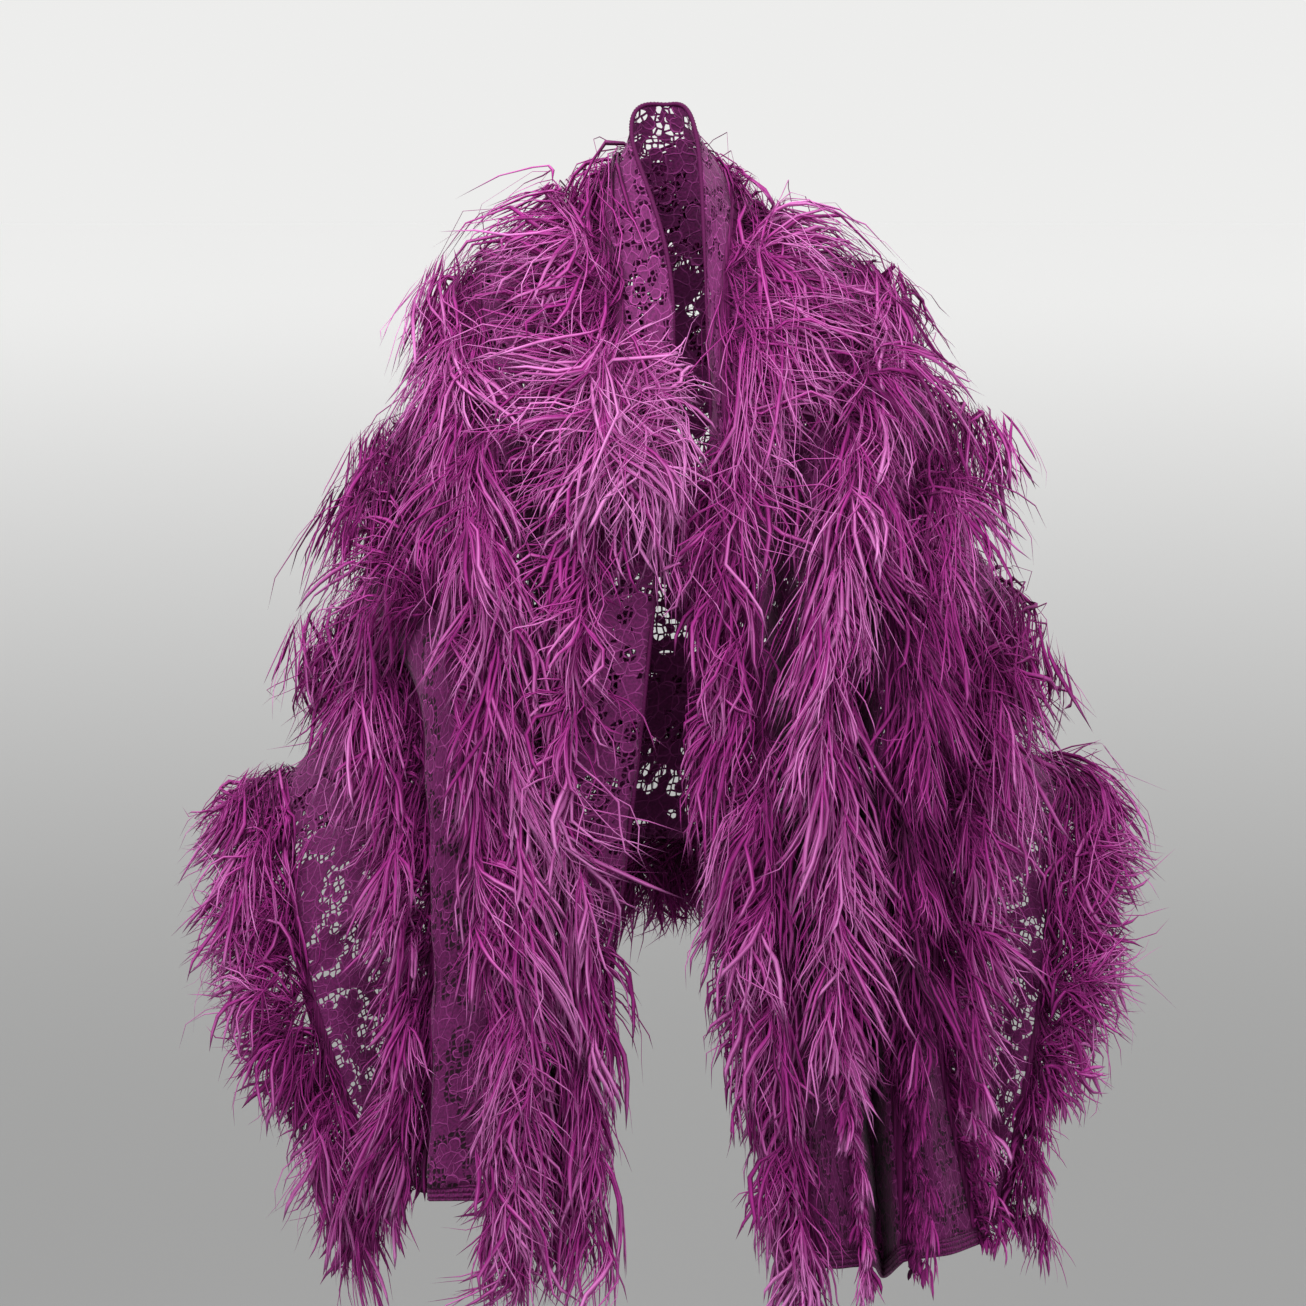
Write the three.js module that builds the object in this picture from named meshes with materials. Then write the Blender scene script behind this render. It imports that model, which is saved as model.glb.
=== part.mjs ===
// Feather shawl: a lace stole with five rows of feather fringe, laid round the neck with both ends in front.
// Millimetres, +Z up. The origin is on the neck axis at the foot of the collar, and the front faces -Y.
import * as THREE from 'three';
import { mergeVertices } from 'three/addons/utils/BufferGeometryUtils.js';

const { clamp, lerp, smoothstep } = THREE.MathUtils;

// Cut of the lace, measured across from the neck edge
const EDGE_TO_FIRST_ROW = 66;
const ROW_SPACING = 158;
const ROW_COUNT = 5;
const HEADER_WIDTH = 12;
const EDGE_ROLL_WIDTH = 4;
const HEM_DEPTH = 15;

// Walls, and the gaps that neighbouring pieces keep
const LACE_THICKNESS = 2;
const HEM_THICKNESS = 3;
const EDGE_ROLL_THICKNESS = 4;
const HEADER_THICKNESS = 4;
const HEADER_GAP = 0.35;
const EDGE_GAP = 0.7;
const HEM_GAP = 1;

// Feather locks: their spacing along a row, how far they stand off the lace, and how far their tips sag
const LOCK_PITCH = 50;
const LOCK_LENGTH = 100;
const LOCK_LIFT = 44;
const LOCK_SAG = 16;
const LOCK_WIDEST_HALF = 22;
const LOCK_ROOM_SHARE = 0.29;
const LOCK_HALF_THICKNESS = 7;
const LOCK_TAPER = 0.8;
const LOCK_RING_SHARES = [0.32, 0.7];
const LOCK_SWAY = 0.09;
const LOCK_SWAYS = 23;

// The eyelets that stand for the lace's open windows: their reach across a facet, and one in how many facets has one
const EYELET_FROM = 0.3;
const EYELET_TO = 0.7;
const EYELET_EVERY = 5;

// Facets along half the length, drawn together towards the neck, where the lace turns most
const FACETS_PER_HALF = 28;
const NECK_CROWDING = 1.3;

// The hang of the lace: a row for each line that runs its whole length, from hem to hem.
// back is [y, z] at the middle of the back. The other columns are [x, y, z], with x outwards from the neck axis.
const HANG = [
  {
    line: 'neck edge',
    back: [32, 72],
    right: { side: [26, 2, 48], chest: [36, -92, -110], waist: [52, -158, -470], hem: [106, -160, -945] },
    left: { side: [30, 2, 48], chest: [-8, -92, -110], waist: [16, -158, -440], hem: [72, -142, -890] },
  },
  {
    line: 'row 1',
    back: [56, 10],
    right: { side: [58, 4, -8], chest: [52, -118, -160], waist: [90, -178, -540], hem: [128, -172, -945] },
    left: { side: [56, 4, -8], chest: [40, -118, -160], waist: [82, -176, -480], hem: [90, -164, -890] },
  },
  {
    line: 'row 2',
    back: [104, -134],
    right: { side: [160, 12, -70], chest: [142, -134, -250], waist: [146, -182, -640], hem: [174, -174, -944] },
    left: { side: [152, 12, -64], chest: [152, -134, -250], waist: [117, -180, -620], hem: [121, -168, -890] },
  },
  {
    line: 'row 3',
    back: [120, -290],
    right: { side: [222, 22, -190], chest: [198, -132, -360], waist: [196, -168, -680], hem: [214, -160, -942] },
    left: { side: [215, 22, -212], chest: [197, -128, -350], waist: [154, -156, -640], hem: [154, -156, -890] },
  },
  {
    line: 'row 4',
    back: [126, -446],
    right: { side: [286, 30, -362], chest: [250, -98, -440], waist: [240, -132, -720], hem: [276, -136, -932] },
    left: { side: [266, 30, -368], chest: [218, -94, -460], waist: [204, -124, -640], hem: [212, -116, -890] },
  },
  {
    line: 'row 5',
    back: [130, -602],
    right: { side: [324, 50, -536], chest: [348, -28, -600], waist: [334, -78, -740], hem: [298, -78, -925] },
    left: { side: [314, 50, -536], chest: [336, -24, -580], waist: [318, -62, -720], hem: [252, -64, -910] },
  },
];

// The folds that take up the slack between neighbouring rows in front. fall is the share of the slack that hangs
// back, or forward below 0, and endFall the same near the hem, where two folds come forward as flat panels.
// lean is the fold's shift away from the neck edge, and drop how much lower it hangs.
const FOLDS = [
  {
    between: 'rows 1 and 2',
    left: { fall: 1, endFall: 1, lean: 0, drop: 0 },
    right: { fall: 1, endFall: -0.1, lean: 0, drop: 0 },
  },
  {
    between: 'rows 2 and 3',
    left: { fall: 1, endFall: 1, lean: 0, drop: 30 },
    right: { fall: 1, endFall: 1, lean: 0, drop: 28 },
  },
  {
    between: 'rows 3 and 4',
    left: { fall: -0.5, endFall: -0.5, lean: 30, drop: 0 },
    right: { fall: 1, endFall: -0.2, lean: 0, drop: 0 },
  },
  {
    between: 'rows 4 and 5',
    left: { fall: 1, endFall: 1, lean: 0, drop: 0 },
    right: { fall: 1, endFall: 0.6, lean: 0, drop: 0 },
  },
];

// Where the folds begin, are full, turn and drop, as shares of the way from the middle of the back to a hem
const FOLD_START = 0.24;
const FOLD_FULL = 0.46;
const FOLD_TURN_START = 0.72;
const FOLD_TURN_FULL = 0.86;
const FOLD_DROP_START = 0.8;

// How much more a header tape keeps to the smooth hang than to the slope of the folds on either side of it
const HEADER_LEVEL = 3;

// Flutes of the loose lower back, fading out towards the front
const FLUTE_DEPTH = 16;
const FLUTES_PER_HALF = 4;
const FLUTE_FADE_START = 0.3;
const FLUTE_FADE_END = 0.5;

// Steps for the slopes of the surface, as a share along it and in millimetres across it
const STEP_ALONG = 0.003;
const STEP_ACROSS = 2;

// Places of the rows, and the whole width
const rowAcross = (row) => EDGE_TO_FIRST_ROW + ROW_SPACING * row;
const LAST_ROW_ACROSS = rowAcross(ROW_COUNT - 1);
const LACE_WIDTH = LAST_ROW_ACROSS + HEADER_WIDTH / 2;

// A line of the hang as one smooth curve from the left hem, round the back, to the right hem
function hangCurve({ back, right, left }) {
  const toLeft = ([x, y, z]) => new THREE.Vector3(-x, y, z);
  const toRight = ([x, y, z]) => new THREE.Vector3(x, y, z);
  const stations = [
    ...[left.hem, left.waist, left.chest, left.side].map(toLeft),
    new THREE.Vector3(0, ...back),
    ...[right.side, right.chest, right.waist, right.hem].map(toRight),
  ];
  const curve = new THREE.CatmullRomCurve3(stations, false, 'catmullrom', 0.5);
  curve.arcLengthDivisions = 800;
  return curve;
}
const HANG_CURVES = HANG.map(hangCurve);
const LACE_LENGTH = Math.max(...HANG_CURVES.map((curve) => curve.getLength()));

// 0 at the middle of the back, 1 at either hem
const fromBack = (along) => Math.abs(2 * along - 1);

// The smooth hang that the feathers fall over: a curve across the lines, running on straight past the last row
function hangPoint(along, across) {
  const points = HANG_CURVES.map((curve) => curve.getPointAt(along));
  const section = new THREE.CatmullRomCurve3(points, false, 'catmullrom', 0.5);
  const beyondFirst = 1 + (across - EDGE_TO_FIRST_ROW) / ROW_SPACING;
  const index = across < EDGE_TO_FIRST_ROW ? across / EDGE_TO_FIRST_ROW : beyondFirst;
  const point = section.getPoint(clamp(index / ROW_COUNT, 0, 1));
  return point.addScaledVector(section.getTangent(1), Math.max(0, across - LAST_ROW_ACROSS));
}

// The fold between a row and the next, in the middle of the slack that they leave
function foldPoint(along, row, points) {
  const { fall, endFall, lean, drop } = FOLDS[row - 1][along < 0.5 ? 'left' : 'right'];
  const reach = fromBack(along);
  const share = smoothstep(reach, FOLD_START, FOLD_FULL);
  const chord = points[row + 1].clone().sub(points[row]);
  const span = chord.length() - HEADER_WIDTH;
  const slack = Math.sqrt(Math.max(0, (ROW_SPACING - HEADER_WIDTH) ** 2 - span ** 2)) / 2;
  const fold = points[row].clone().lerp(points[row + 1], 0.5);
  fold.addScaledVector(chord.normalize(), lean * share);
  fold.y += lerp(fall, endFall, smoothstep(reach, FOLD_TURN_START, FOLD_TURN_FULL)) * slack * share;
  fold.z -= drop * smoothstep(reach, FOLD_DROP_START, 1);
  return fold;
}

// The flutes swing the loose lower back in and out
function flutePoint(point, along, across) {
  const reach = fromBack(along);
  const fade = 1 - smoothstep(reach, FLUTE_FADE_START, FLUTE_FADE_END);
  const wave = Math.cos(2 * Math.PI * FLUTES_PER_HALF * reach);
  const plan = new THREE.Vector3(point.x / 2, point.y, 0).normalize();
  return point.addScaledVector(plan, FLUTE_DEPTH * (across / LACE_WIDTH) ** 2 * fade * wave);
}

// A section of the lace at each of ACROSS_LINES: the neck edge, then the two edges of a header and a fold in turn
function laceSection(along) {
  const points = HANG_CURVES.map((curve) => curve.getPointAt(along));
  const folds = FOLDS.map((_, k) => foldPoint(along, k + 1, points));
  const headers = points.slice(1).map((point, row) => {
    const before = folds[row - 1] ?? points[0];
    const after = folds[row] ?? point;
    const hangWay = (points[row + 2] ?? point).clone().sub(points[row]).normalize();
    const foldWay = after.clone().sub(before).normalize();
    const flat = hangWay.multiplyScalar(HEADER_LEVEL).add(foldWay).setLength(HEADER_WIDTH / 2);
    return [point.clone().sub(flat), point.clone().add(flat)];
  });
  const firstHeader = headers[0][0];
  const firstAcross = EDGE_TO_FIRST_ROW - HEADER_WIDTH / 2;
  const beside = [0, EDGE_ROLL_WIDTH, EDGE_ROLL_WIDTH + EDGE_GAP].map((across) =>
    points[0].clone().lerp(firstHeader, across / firstAcross));
  const rest = headers.flatMap((edges, row) => (row < folds.length ? [...edges, folds[row]] : edges));
  return [...beside, ...rest].map((point, j) => flutePoint(point, along, ACROSS_LINES[j]));
}

// Directions of the smooth hang at a point: along the length, across it and outwards
function hangFrame(along, across) {
  const later = hangPoint(Math.min(1, along + STEP_ALONG), across);
  const earlier = hangPoint(Math.max(0, along - STEP_ALONG), across);
  const alongWay = later.sub(earlier).normalize();
  const further = hangPoint(along, across + STEP_ACROSS);
  const acrossWay = further.sub(hangPoint(along, Math.max(0, across - STEP_ACROSS))).normalize();
  return { alongWay, acrossWay, outward: alongWay.clone().cross(acrossWay).normalize() };
}

// Stations along the length: the two hems, and between them the lace, a gap away from each
const HEM_SHARE = HEM_DEPTH / LACE_LENGTH;
const HEM_GAP_SHARE = HEM_GAP / LACE_LENGTH;
const LACE_STATIONS = [];
for (let facet = -FACETS_PER_HALF; facet <= FACETS_PER_HALF; facet += 1) {
  const reach = Math.sign(facet) * Math.abs(facet / FACETS_PER_HALF) ** NECK_CROWDING;
  LACE_STATIONS.push(0.5 + reach * (0.5 - HEM_SHARE - HEM_GAP_SHARE));
}
const ALONG_STATIONS = [0, HEM_SHARE, ...LACE_STATIONS, 1 - HEM_SHARE, 1];

// Lines across it: the edge roll, then a gap away the lace, with a line at each header's edges and each fold
const LACE_LINES = [EDGE_ROLL_WIDTH + EDGE_GAP];
for (let row = 0; row < ROW_COUNT; row += 1) {
  LACE_LINES.push(rowAcross(row) - HEADER_WIDTH / 2, rowAcross(row) + HEADER_WIDTH / 2);
  if (row < ROW_COUNT - 1) LACE_LINES.push(rowAcross(row) + ROW_SPACING / 2);
}
const ACROSS_LINES = [0, EDGE_ROLL_WIDTH, ...LACE_LINES];

// How far a facet corner moves for each millimetre that its facets are offset, so that walls keep their thickness
const LONGEST_MITRE = 2.5;
function cornerOffset(points, i, j) {
  const normals = [];
  for (const [stepI, stepJ] of [[1, 1], [-1, 1], [-1, -1], [1, -1]]) {
    const alongNeighbour = points[i + stepI]?.[j];
    const acrossNeighbour = points[i][j + stepJ];
    if (!alongNeighbour || !acrossNeighbour) continue;
    const alongWay = alongNeighbour.clone().sub(points[i][j]).multiplyScalar(stepI);
    const acrossWay = acrossNeighbour.clone().sub(points[i][j]).multiplyScalar(stepJ);
    normals.push(alongWay.cross(acrossWay).normalize());
  }
  const mean = normals.reduce((sum, normal) => sum.add(normal), new THREE.Vector3()).normalize();
  const steepest = Math.min(...normals.map((normal) => normal.dot(mean)));
  return mean.divideScalar(Math.max(steepest, 1 / LONGEST_MITRE));
}

// The grid that every piece lies on, with the offset of each corner, and the slice of it that a piece takes
const GRID_POINTS = ALONG_STATIONS.map(laceSection);
const GRID_OFFSETS = GRID_POINTS.map((line, i) => line.map((_, j) => cornerOffset(GRID_POINTS, i, j)));
function gridSlice(alongStations, acrossLines) {
  const picked = (grid) =>
    alongStations.map((along) =>
      acrossLines.map((across) => grid[ALONG_STATIONS.indexOf(along)][ACROSS_LINES.indexOf(across)]));
  return { points: picked(GRID_POINTS), offsets: picked(GRID_OFFSETS) };
}

// Collects the faces of a closed solid
class FaceList {
  corners = [];

  triangle(a, b, c) {
    this.corners.push(a, b, c);
  }

  quad(a, b, c, d) {
    this.triangle(a, b, c);
    this.triangle(a, c, d);
  }

  geometry() {
    return mergeVertices(new THREE.BufferGeometry().setFromPoints(this.corners));
  }
}

// An eyelet through one facet, from its upper to its lower face
const EYELET_CORNERS = [
  [EYELET_FROM, EYELET_FROM],
  [EYELET_TO, EYELET_FROM],
  [EYELET_TO, EYELET_TO],
  [EYELET_FROM, EYELET_TO],
];
function addEyelet(faces, upper, lower) {
  const within = (facet, [s, t]) => {
    const near = facet[0].clone().lerp(facet[1], s);
    const far = facet[3].clone().lerp(facet[2], s);
    return near.lerp(far, t);
  };
  const upperRim = EYELET_CORNERS.map((corner) => within(upper, corner));
  const lowerRim = EYELET_CORNERS.map((corner) => within(lower, corner));
  for (let k = 0; k < 4; k += 1) {
    const next = (k + 1) % 4;
    faces.quad(upper[k], upper[next], upperRim[next], upperRim[k]);
    faces.quad(upperRim[k], upperRim[next], lowerRim[next], lowerRim[k]);
    faces.quad(lowerRim[k], lowerRim[next], lower[next], lower[k]);
  }
}

// A feather lock grown from a facet of its header: it rises, bends downhill over the hang and tapers to a point
const RING_CORNERS = [[-1, -1], [1, -1], [1, 1], [-1, 1]];
function addLock(faces, rootRing, along, across) {
  const { alongWay, acrossWay, outward } = hangFrame(along, across);
  const sway = LOCK_SWAY * Math.sin(2 * Math.PI * LOCK_SWAYS * along);
  const downhill = new THREE.Vector2(-alongWay.z, -acrossWay.z).normalize();
  downhill.rotateAround(new THREE.Vector2(), sway);
  const foot = hangPoint(along, across);
  const neighbours = [across - ROW_SPACING, across + ROW_SPACING];
  const held = neighbours.filter((other) => other > 0 && other <= LAST_ROW_ACROSS);
  const room = Math.min(...held.map((other) => foot.distanceTo(hangPoint(along, other))));
  const halfWidth = Math.min(LOCK_WIDEST_HALF, LOCK_ROOM_SHARE * room);

  const middle = rootRing.reduce((sum, corner) => sum.add(corner), new THREE.Vector3()).divideScalar(4);
  const start = middle.clone().sub(foot);
  const headerWay = rootRing[2].clone().sub(rootRing[0]).cross(rootRing[3].clone().sub(rootRing[1])).normalize();
  const turned = headerWay.sub(outward);
  const pathPoint = (share) => {
    const alongWanted = along + (downhill.x * LOCK_LENGTH * share) / LACE_LENGTH;
    const acrossWanted = across + downhill.y * LOCK_LENGTH * share;
    const alongHeld = clamp(alongWanted, 0, 1);
    const frame = hangFrame(alongHeld, acrossWanted);
    const point = hangPoint(alongHeld, acrossWanted)
      .add(start)
      .addScaledVector(frame.outward.add(turned).normalize(), LOCK_LIFT * (1 - (1 - share) ** 2))
      .addScaledVector(frame.alongWay, (alongWanted - alongHeld) * LACE_LENGTH);
    point.z -= LOCK_SAG * share ** 2;
    return point;
  };

  const downWay = alongWay.clone().multiplyScalar(downhill.x).addScaledVector(acrossWay, downhill.y);
  const sideWay = outward.clone().cross(downWay).normalize();
  const quarterTurns = Math.round(downhill.angle() / (Math.PI / 2)) + 1;
  const tip = pathPoint(1);
  let lowerRing = rootRing;
  let size = 1;
  for (const share of LOCK_RING_SHARES) {
    const centre = pathPoint(share);
    const upWay = tip.clone().sub(pathPoint(share / 2)).cross(sideWay).normalize();
    const upperRing = rootRing.map((_, k) => {
      const [w, h] = RING_CORNERS[(k - quarterTurns + 8) % 4];
      return centre
        .clone()
        .addScaledVector(sideWay, w * size * halfWidth)
        .addScaledVector(upWay, h * size * LOCK_HALF_THICKNESS);
    });
    for (let k = 0; k < 4; k += 1) {
      const next = (k + 1) % 4;
      faces.quad(lowerRing[k], lowerRing[next], upperRing[next], upperRing[k]);
    }
    lowerRing = upperRing;
    size *= LOCK_TAPER;
  }
  for (let k = 0; k < 4; k += 1) faces.triangle(lowerRing[k], lowerRing[(k + 1) % 4], tip);
}

// A wall over a grid between two offsets. isOpen picks facets with an eyelet; growLock may close an upper facet.
function wallGeometry({ points, offsets }, inner, outer, { isOpen = () => false, growLock = () => false } = {}) {
  const faces = new FaceList();
  const at = (i, j, offset) => points[i][j].clone().addScaledVector(offsets[i][j], offset);
  const lastAlong = points.length - 1;
  const lastAcross = points[0].length - 1;
  for (let i = 0; i < lastAlong; i += 1) {
    for (let j = 0; j < lastAcross; j += 1) {
      const facet = (offset) => [
        at(i, j, offset),
        at(i + 1, j, offset),
        at(i + 1, j + 1, offset),
        at(i, j + 1, offset),
      ];
      const upper = facet(outer);
      const lower = facet(inner);
      if (isOpen(i, j)) {
        addEyelet(faces, upper, lower);
        continue;
      }
      if (!growLock(faces, upper, i)) faces.quad(...upper);
      faces.quad(lower[0], lower[3], lower[2], lower[1]);
    }
  }
  const addRim = (a, b) => faces.quad(at(...a, inner), at(...b, inner), at(...b, outer), at(...a, outer));
  const addFarRim = (a, b) => faces.quad(at(...a, inner), at(...a, outer), at(...b, outer), at(...b, inner));
  for (let i = 0; i < lastAlong; i += 1) {
    addRim([i, 0], [i + 1, 0]);
    addFarRim([i, lastAcross], [i + 1, lastAcross]);
  }
  for (let j = 0; j < lastAcross; j += 1) {
    addFarRim([0, j], [0, j + 1]);
    addRim([lastAlong, j], [lastAlong, j + 1]);
  }
  return faces.geometry();
}

// Only the wide facets between headers and folds have eyelets, in a diagonal order
function hasEyelet(i, j) {
  const isWide = LACE_LINES[j + 1] - LACE_LINES[j] > 2 * HEADER_WIDTH;
  return isWide && (i + 2 * j) % EYELET_EVERY === 0;
}

// One row of fringe: a header tape that follows the lace's facets, with a lock grown from it at each pitch
function featherRowGeometry(row) {
  const across = rowAcross(row);
  const tape = gridSlice(LACE_STATIONS, [across - HEADER_WIDTH / 2, across + HEADER_WIDTH / 2]);
  const under = LACE_THICKNESS / 2 + HEADER_GAP;
  let run = LOCK_PITCH / 2;
  const growLock = (faces, rootRing, i) => {
    run += tape.points[i][0].distanceTo(tape.points[i + 1][0]);
    if (run < LOCK_PITCH) return false;
    run -= LOCK_PITCH;
    addLock(faces, rootRing, (LACE_STATIONS[i] + LACE_STATIONS[i + 1]) / 2, across);
    return true;
  };
  return wallGeometry(tape, under, under + HEADER_THICKNESS, { growLock });
}

// A named piece with its own fabric or feather material
function piece(name, geometry, color) {
  const mesh = new THREE.Mesh(geometry, new THREE.MeshStandardMaterial({ color, roughness: 0.85, metalness: 0 }));
  mesh.name = name;
  return mesh;
}

// A wall of even thickness on both sides of the lace's middle surface
const evenWall = (grid, thickness, options) => wallGeometry(grid, -thickness / 2, thickness / 2, options);

const LACE_COLOUR = 0x6c275c;
const HEM_COLOUR = 0x5b1f4c;
const EDGE_COLOUR = 0x4a0739;
const FEATHER_COLOUR = 0x812d6c;

const shawl = new THREE.Group();

const lace = gridSlice(LACE_STATIONS, LACE_LINES);
shawl.add(piece('lace_panel', evenWall(lace, LACE_THICKNESS, { isOpen: hasEyelet }), LACE_COLOUR));

const leftHem = gridSlice([0, HEM_SHARE], LACE_LINES);
const rightHem = gridSlice([1 - HEM_SHARE, 1], LACE_LINES);
shawl.add(piece('end_hem_left', evenWall(leftHem, HEM_THICKNESS), HEM_COLOUR));
shawl.add(piece('end_hem_right', evenWall(rightHem, HEM_THICKNESS), HEM_COLOUR));

const edgeRoll = gridSlice(ALONG_STATIONS, [0, EDGE_ROLL_WIDTH]);
shawl.add(piece('neck_edge', evenWall(edgeRoll, EDGE_ROLL_THICKNESS), EDGE_COLOUR));

for (let row = 0; row < ROW_COUNT; row += 1) {
  shawl.add(piece(`feather_row_${row + 1}`, featherRowGeometry(row), FEATHER_COLOUR));
}

export default shawl;
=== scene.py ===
"""Dresses a draped feather shawl: its lace, end hems, rolled neck edge and five rows of feathers."""

import math
from functools import partial

import bpy
import numpy as np
from bpy.props import FloatProperty, FloatVectorProperty, IntProperty, PointerProperty
from mathutils import Color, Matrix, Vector


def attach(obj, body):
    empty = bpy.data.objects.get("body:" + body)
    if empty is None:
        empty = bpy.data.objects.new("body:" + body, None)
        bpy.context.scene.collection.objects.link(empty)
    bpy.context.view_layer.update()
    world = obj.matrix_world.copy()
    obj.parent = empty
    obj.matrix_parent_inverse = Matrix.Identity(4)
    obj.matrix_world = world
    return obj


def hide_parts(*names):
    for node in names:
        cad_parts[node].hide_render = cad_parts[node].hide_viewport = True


bl_info = {
    "name": "Feather Shawl",
    "version": (1, 0, 0),
    "blender": (4, 5, 0),
    "location": "View3D > Sidebar > Shawl",
    "description": "Builds the lace, hems, rolled edge and feather rows of a draped shawl",
    "category": "Object",
}

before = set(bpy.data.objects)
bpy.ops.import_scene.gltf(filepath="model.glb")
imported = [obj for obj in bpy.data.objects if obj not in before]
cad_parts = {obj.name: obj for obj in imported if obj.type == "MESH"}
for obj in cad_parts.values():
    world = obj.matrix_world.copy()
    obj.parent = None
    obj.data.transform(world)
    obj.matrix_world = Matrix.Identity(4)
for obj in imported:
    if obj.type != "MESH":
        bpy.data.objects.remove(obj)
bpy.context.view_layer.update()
BODY = "root"
MM = 0.001
FULL_TURN = 2 * np.pi

# Cut of the lace in millimetres, measured across from the neck edge, as in the solids
EDGE_TO_FIRST_ROW = 66
ROW_SPACING = 158
ROW_COUNT = 5
HEADER_WIDTH = 12
EDGE_ROLL_WIDTH = 4
HEM_DEPTH = 15
ROW_ACROSS = [EDGE_TO_FIRST_ROW + ROW_SPACING * row for row in range(ROW_COUNT)]
LACE_WIDTH = ROW_ACROSS[-1] + HEADER_WIDTH / 2

# Length of the flat cloth, in metres
CUT_LENGTH = 2.13

# How far the lace goes in under the rolled edge, in millimetres, and the share of a hem that it leaves free
EDGE_OVERLAP = 1
HEM_FREE = 0.9

# The hang of the lace, as in the solids: a line for the neck edge and one for each row, from hem to hem.
# back is (y, z) at the middle of the back. The others are (x, y, z) at the side, the chest, the waist and
# the hem, with x outwards from the neck axis.
HANG = [
    {
        "back": (32, 72),
        "right": ((26, 2, 48), (36, -92, -110), (52, -158, -470), (106, -160, -945)),
        "left": ((30, 2, 48), (-8, -92, -110), (16, -158, -440), (72, -142, -890)),
    },
    {
        "back": (56, 10),
        "right": ((58, 4, -8), (52, -118, -160), (90, -178, -540), (128, -172, -945)),
        "left": ((56, 4, -8), (40, -118, -160), (82, -176, -480), (90, -164, -890)),
    },
    {
        "back": (104, -134),
        "right": ((160, 12, -70), (142, -134, -250), (146, -182, -640), (174, -174, -944)),
        "left": ((152, 12, -64), (152, -134, -250), (117, -180, -620), (121, -168, -890)),
    },
    {
        "back": (120, -290),
        "right": ((222, 22, -190), (198, -132, -360), (196, -168, -680), (214, -160, -942)),
        "left": ((215, 22, -212), (197, -128, -350), (154, -156, -640), (154, -156, -890)),
    },
    {
        "back": (126, -446),
        "right": ((286, 30, -362), (250, -98, -440), (240, -132, -720), (276, -136, -932)),
        "left": ((266, 30, -368), (218, -94, -460), (204, -124, -640), (212, -116, -890)),
    },
    {
        "back": (130, -602),
        "right": ((324, 50, -536), (348, -28, -600), (334, -78, -740), (298, -78, -925)),
        "left": ((314, 50, -536), (336, -24, -580), (318, -62, -720), (252, -64, -910)),
    },
]

# Which points of a hang line, counted from the left hem, are at the shoulder's sides and at the chest
SIDE_STATIONS = [3, 5]
CHEST_STATIONS = [2, 6]

# The folds between neighbouring rows, as in the solids: (fall, fall near the hem, lean, drop)
FOLDS = [
    {"left": (1, 1, 0, 0), "right": (1, -0.1, 0, 0)},
    {"left": (1, 1, 0, 30), "right": (1, 1, 0, 28)},
    {"left": (-0.5, -0.5, 30, 0), "right": (1, -0.2, 0, 0)},
    {"left": (1, 1, 0, 0), "right": (1, 0.6, 0, 0)},
]
FOLD_GROWS = (0.24, 0.46)
FOLD_TURNS = (0.72, 0.86)
FOLD_DROPS = (0.8, 1)
HEADER_LEVEL = 3

# Flutes of the loose lower back, as in the solids
FLUTE_DEPTH = 16
FLUTES_PER_HALF = 4
FLUTE_FADES = (0.3, 0.5)
FLUTE_WAY = (0.5, 1, 0)

# How each row's feathers fall at the left and right in front, and elsewhere: the side they start to, 1 away
# from the opening and -1 towards it, and how far they turn downhill at the root and tip, 1 for all the way
ROW_FALL = {
    "left": ((1, 0.34, 0.86), (1, 0.9, 1.0), (-1, 0.15, 0.8), (1, 0.0, 1.0), (1, -0.4, -0.1)),
    "right": ((-1, 0.94, 1.0), (1, 0.9, 1.0), (-1, 0.94, 1.0), (1, 0.0, 1.0), (1, -0.4, -0.1)),
    "other": ((1, 0.05, 0.7), (1, 0.05, 0.5), (1, 0.05, 0.5), (1, 0.05, 0.75), (1, 0.1, 0.7)),
}

# Where each row begins to fall as in front, and does in full, as shares of the way from the back to a hem
FRONT_REACH = {
    "left": ((0.3, 0.46), (0.3, 0.48), (0.42, 0.58), (0.46, 0.62), (0.48, 0.64)),
    "right": ((0.24, 0.4), (0.3, 0.48), (0.42, 0.58), (0.46, 0.62), (0.48, 0.64)),
}

# How long each row's feathers are, as a share of the usual length
ROW_LENGTH = {
    "left": (0.92, 1.0, 0.95, 0.64, 0.85),
    "right": (1.0, 1.0, 0.66, 0.66, 0.8),
    "other": (1.28, 0.95, 0.9, 1.12, 0.95),
}

# How far they fan to either side, and how far their barbs open from the shaft, in degrees
ROW_FAN = {"left": (10, 14, 6, 14, 16), "right": (14, 16, 12, 14, 16), "other": (34, 32, 26, 24, 20)}
ROW_OPEN = {"left": (20, 24, 10, 44, 48), "right": (20, 24, 16, 44, 48), "other": (46, 50, 50, 50, 48)}

# How much paler or deeper they are; the right of the third row is deeper as painted shade in the valley
# between rows
ROW_PALE = {
    "left": (0.02, 0.06, 0.0, 0.0, -0.03),
    "right": (0.02, 0.03, -0.28, 0.0, 0.0),
    "other": (0.06, 0.06, 0.0, 0.0, 0.0),
}

# How much further each row stands off over the shoulders and arms, how close its feathers are as a share of
# the usual pitch, and how far they curl at most: less in the first row, which keeps off the opening
SIDE_LIFT = (1.3, 1.1, 1.4, 1.4, 1.1)
ROW_PITCH = (1.05, 1.05, 1.05, 1.05, 0.68)
ROW_CURL = (0.7, 1.2, 1.2, 1.2, 1.2)

# The share of barbs that fly loose over the shoulders and arms, and the part of it along the last row
FLYAWAY_SHARE = 0.1
LAST_ROW_FLYAWAY = 0.7

# Where that begins and ends, as a share of the way to the shoulder's side and as one past the chest
SIDE_FADE_IN = 0.4
SIDE_FADE_OUT = 0.16

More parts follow.
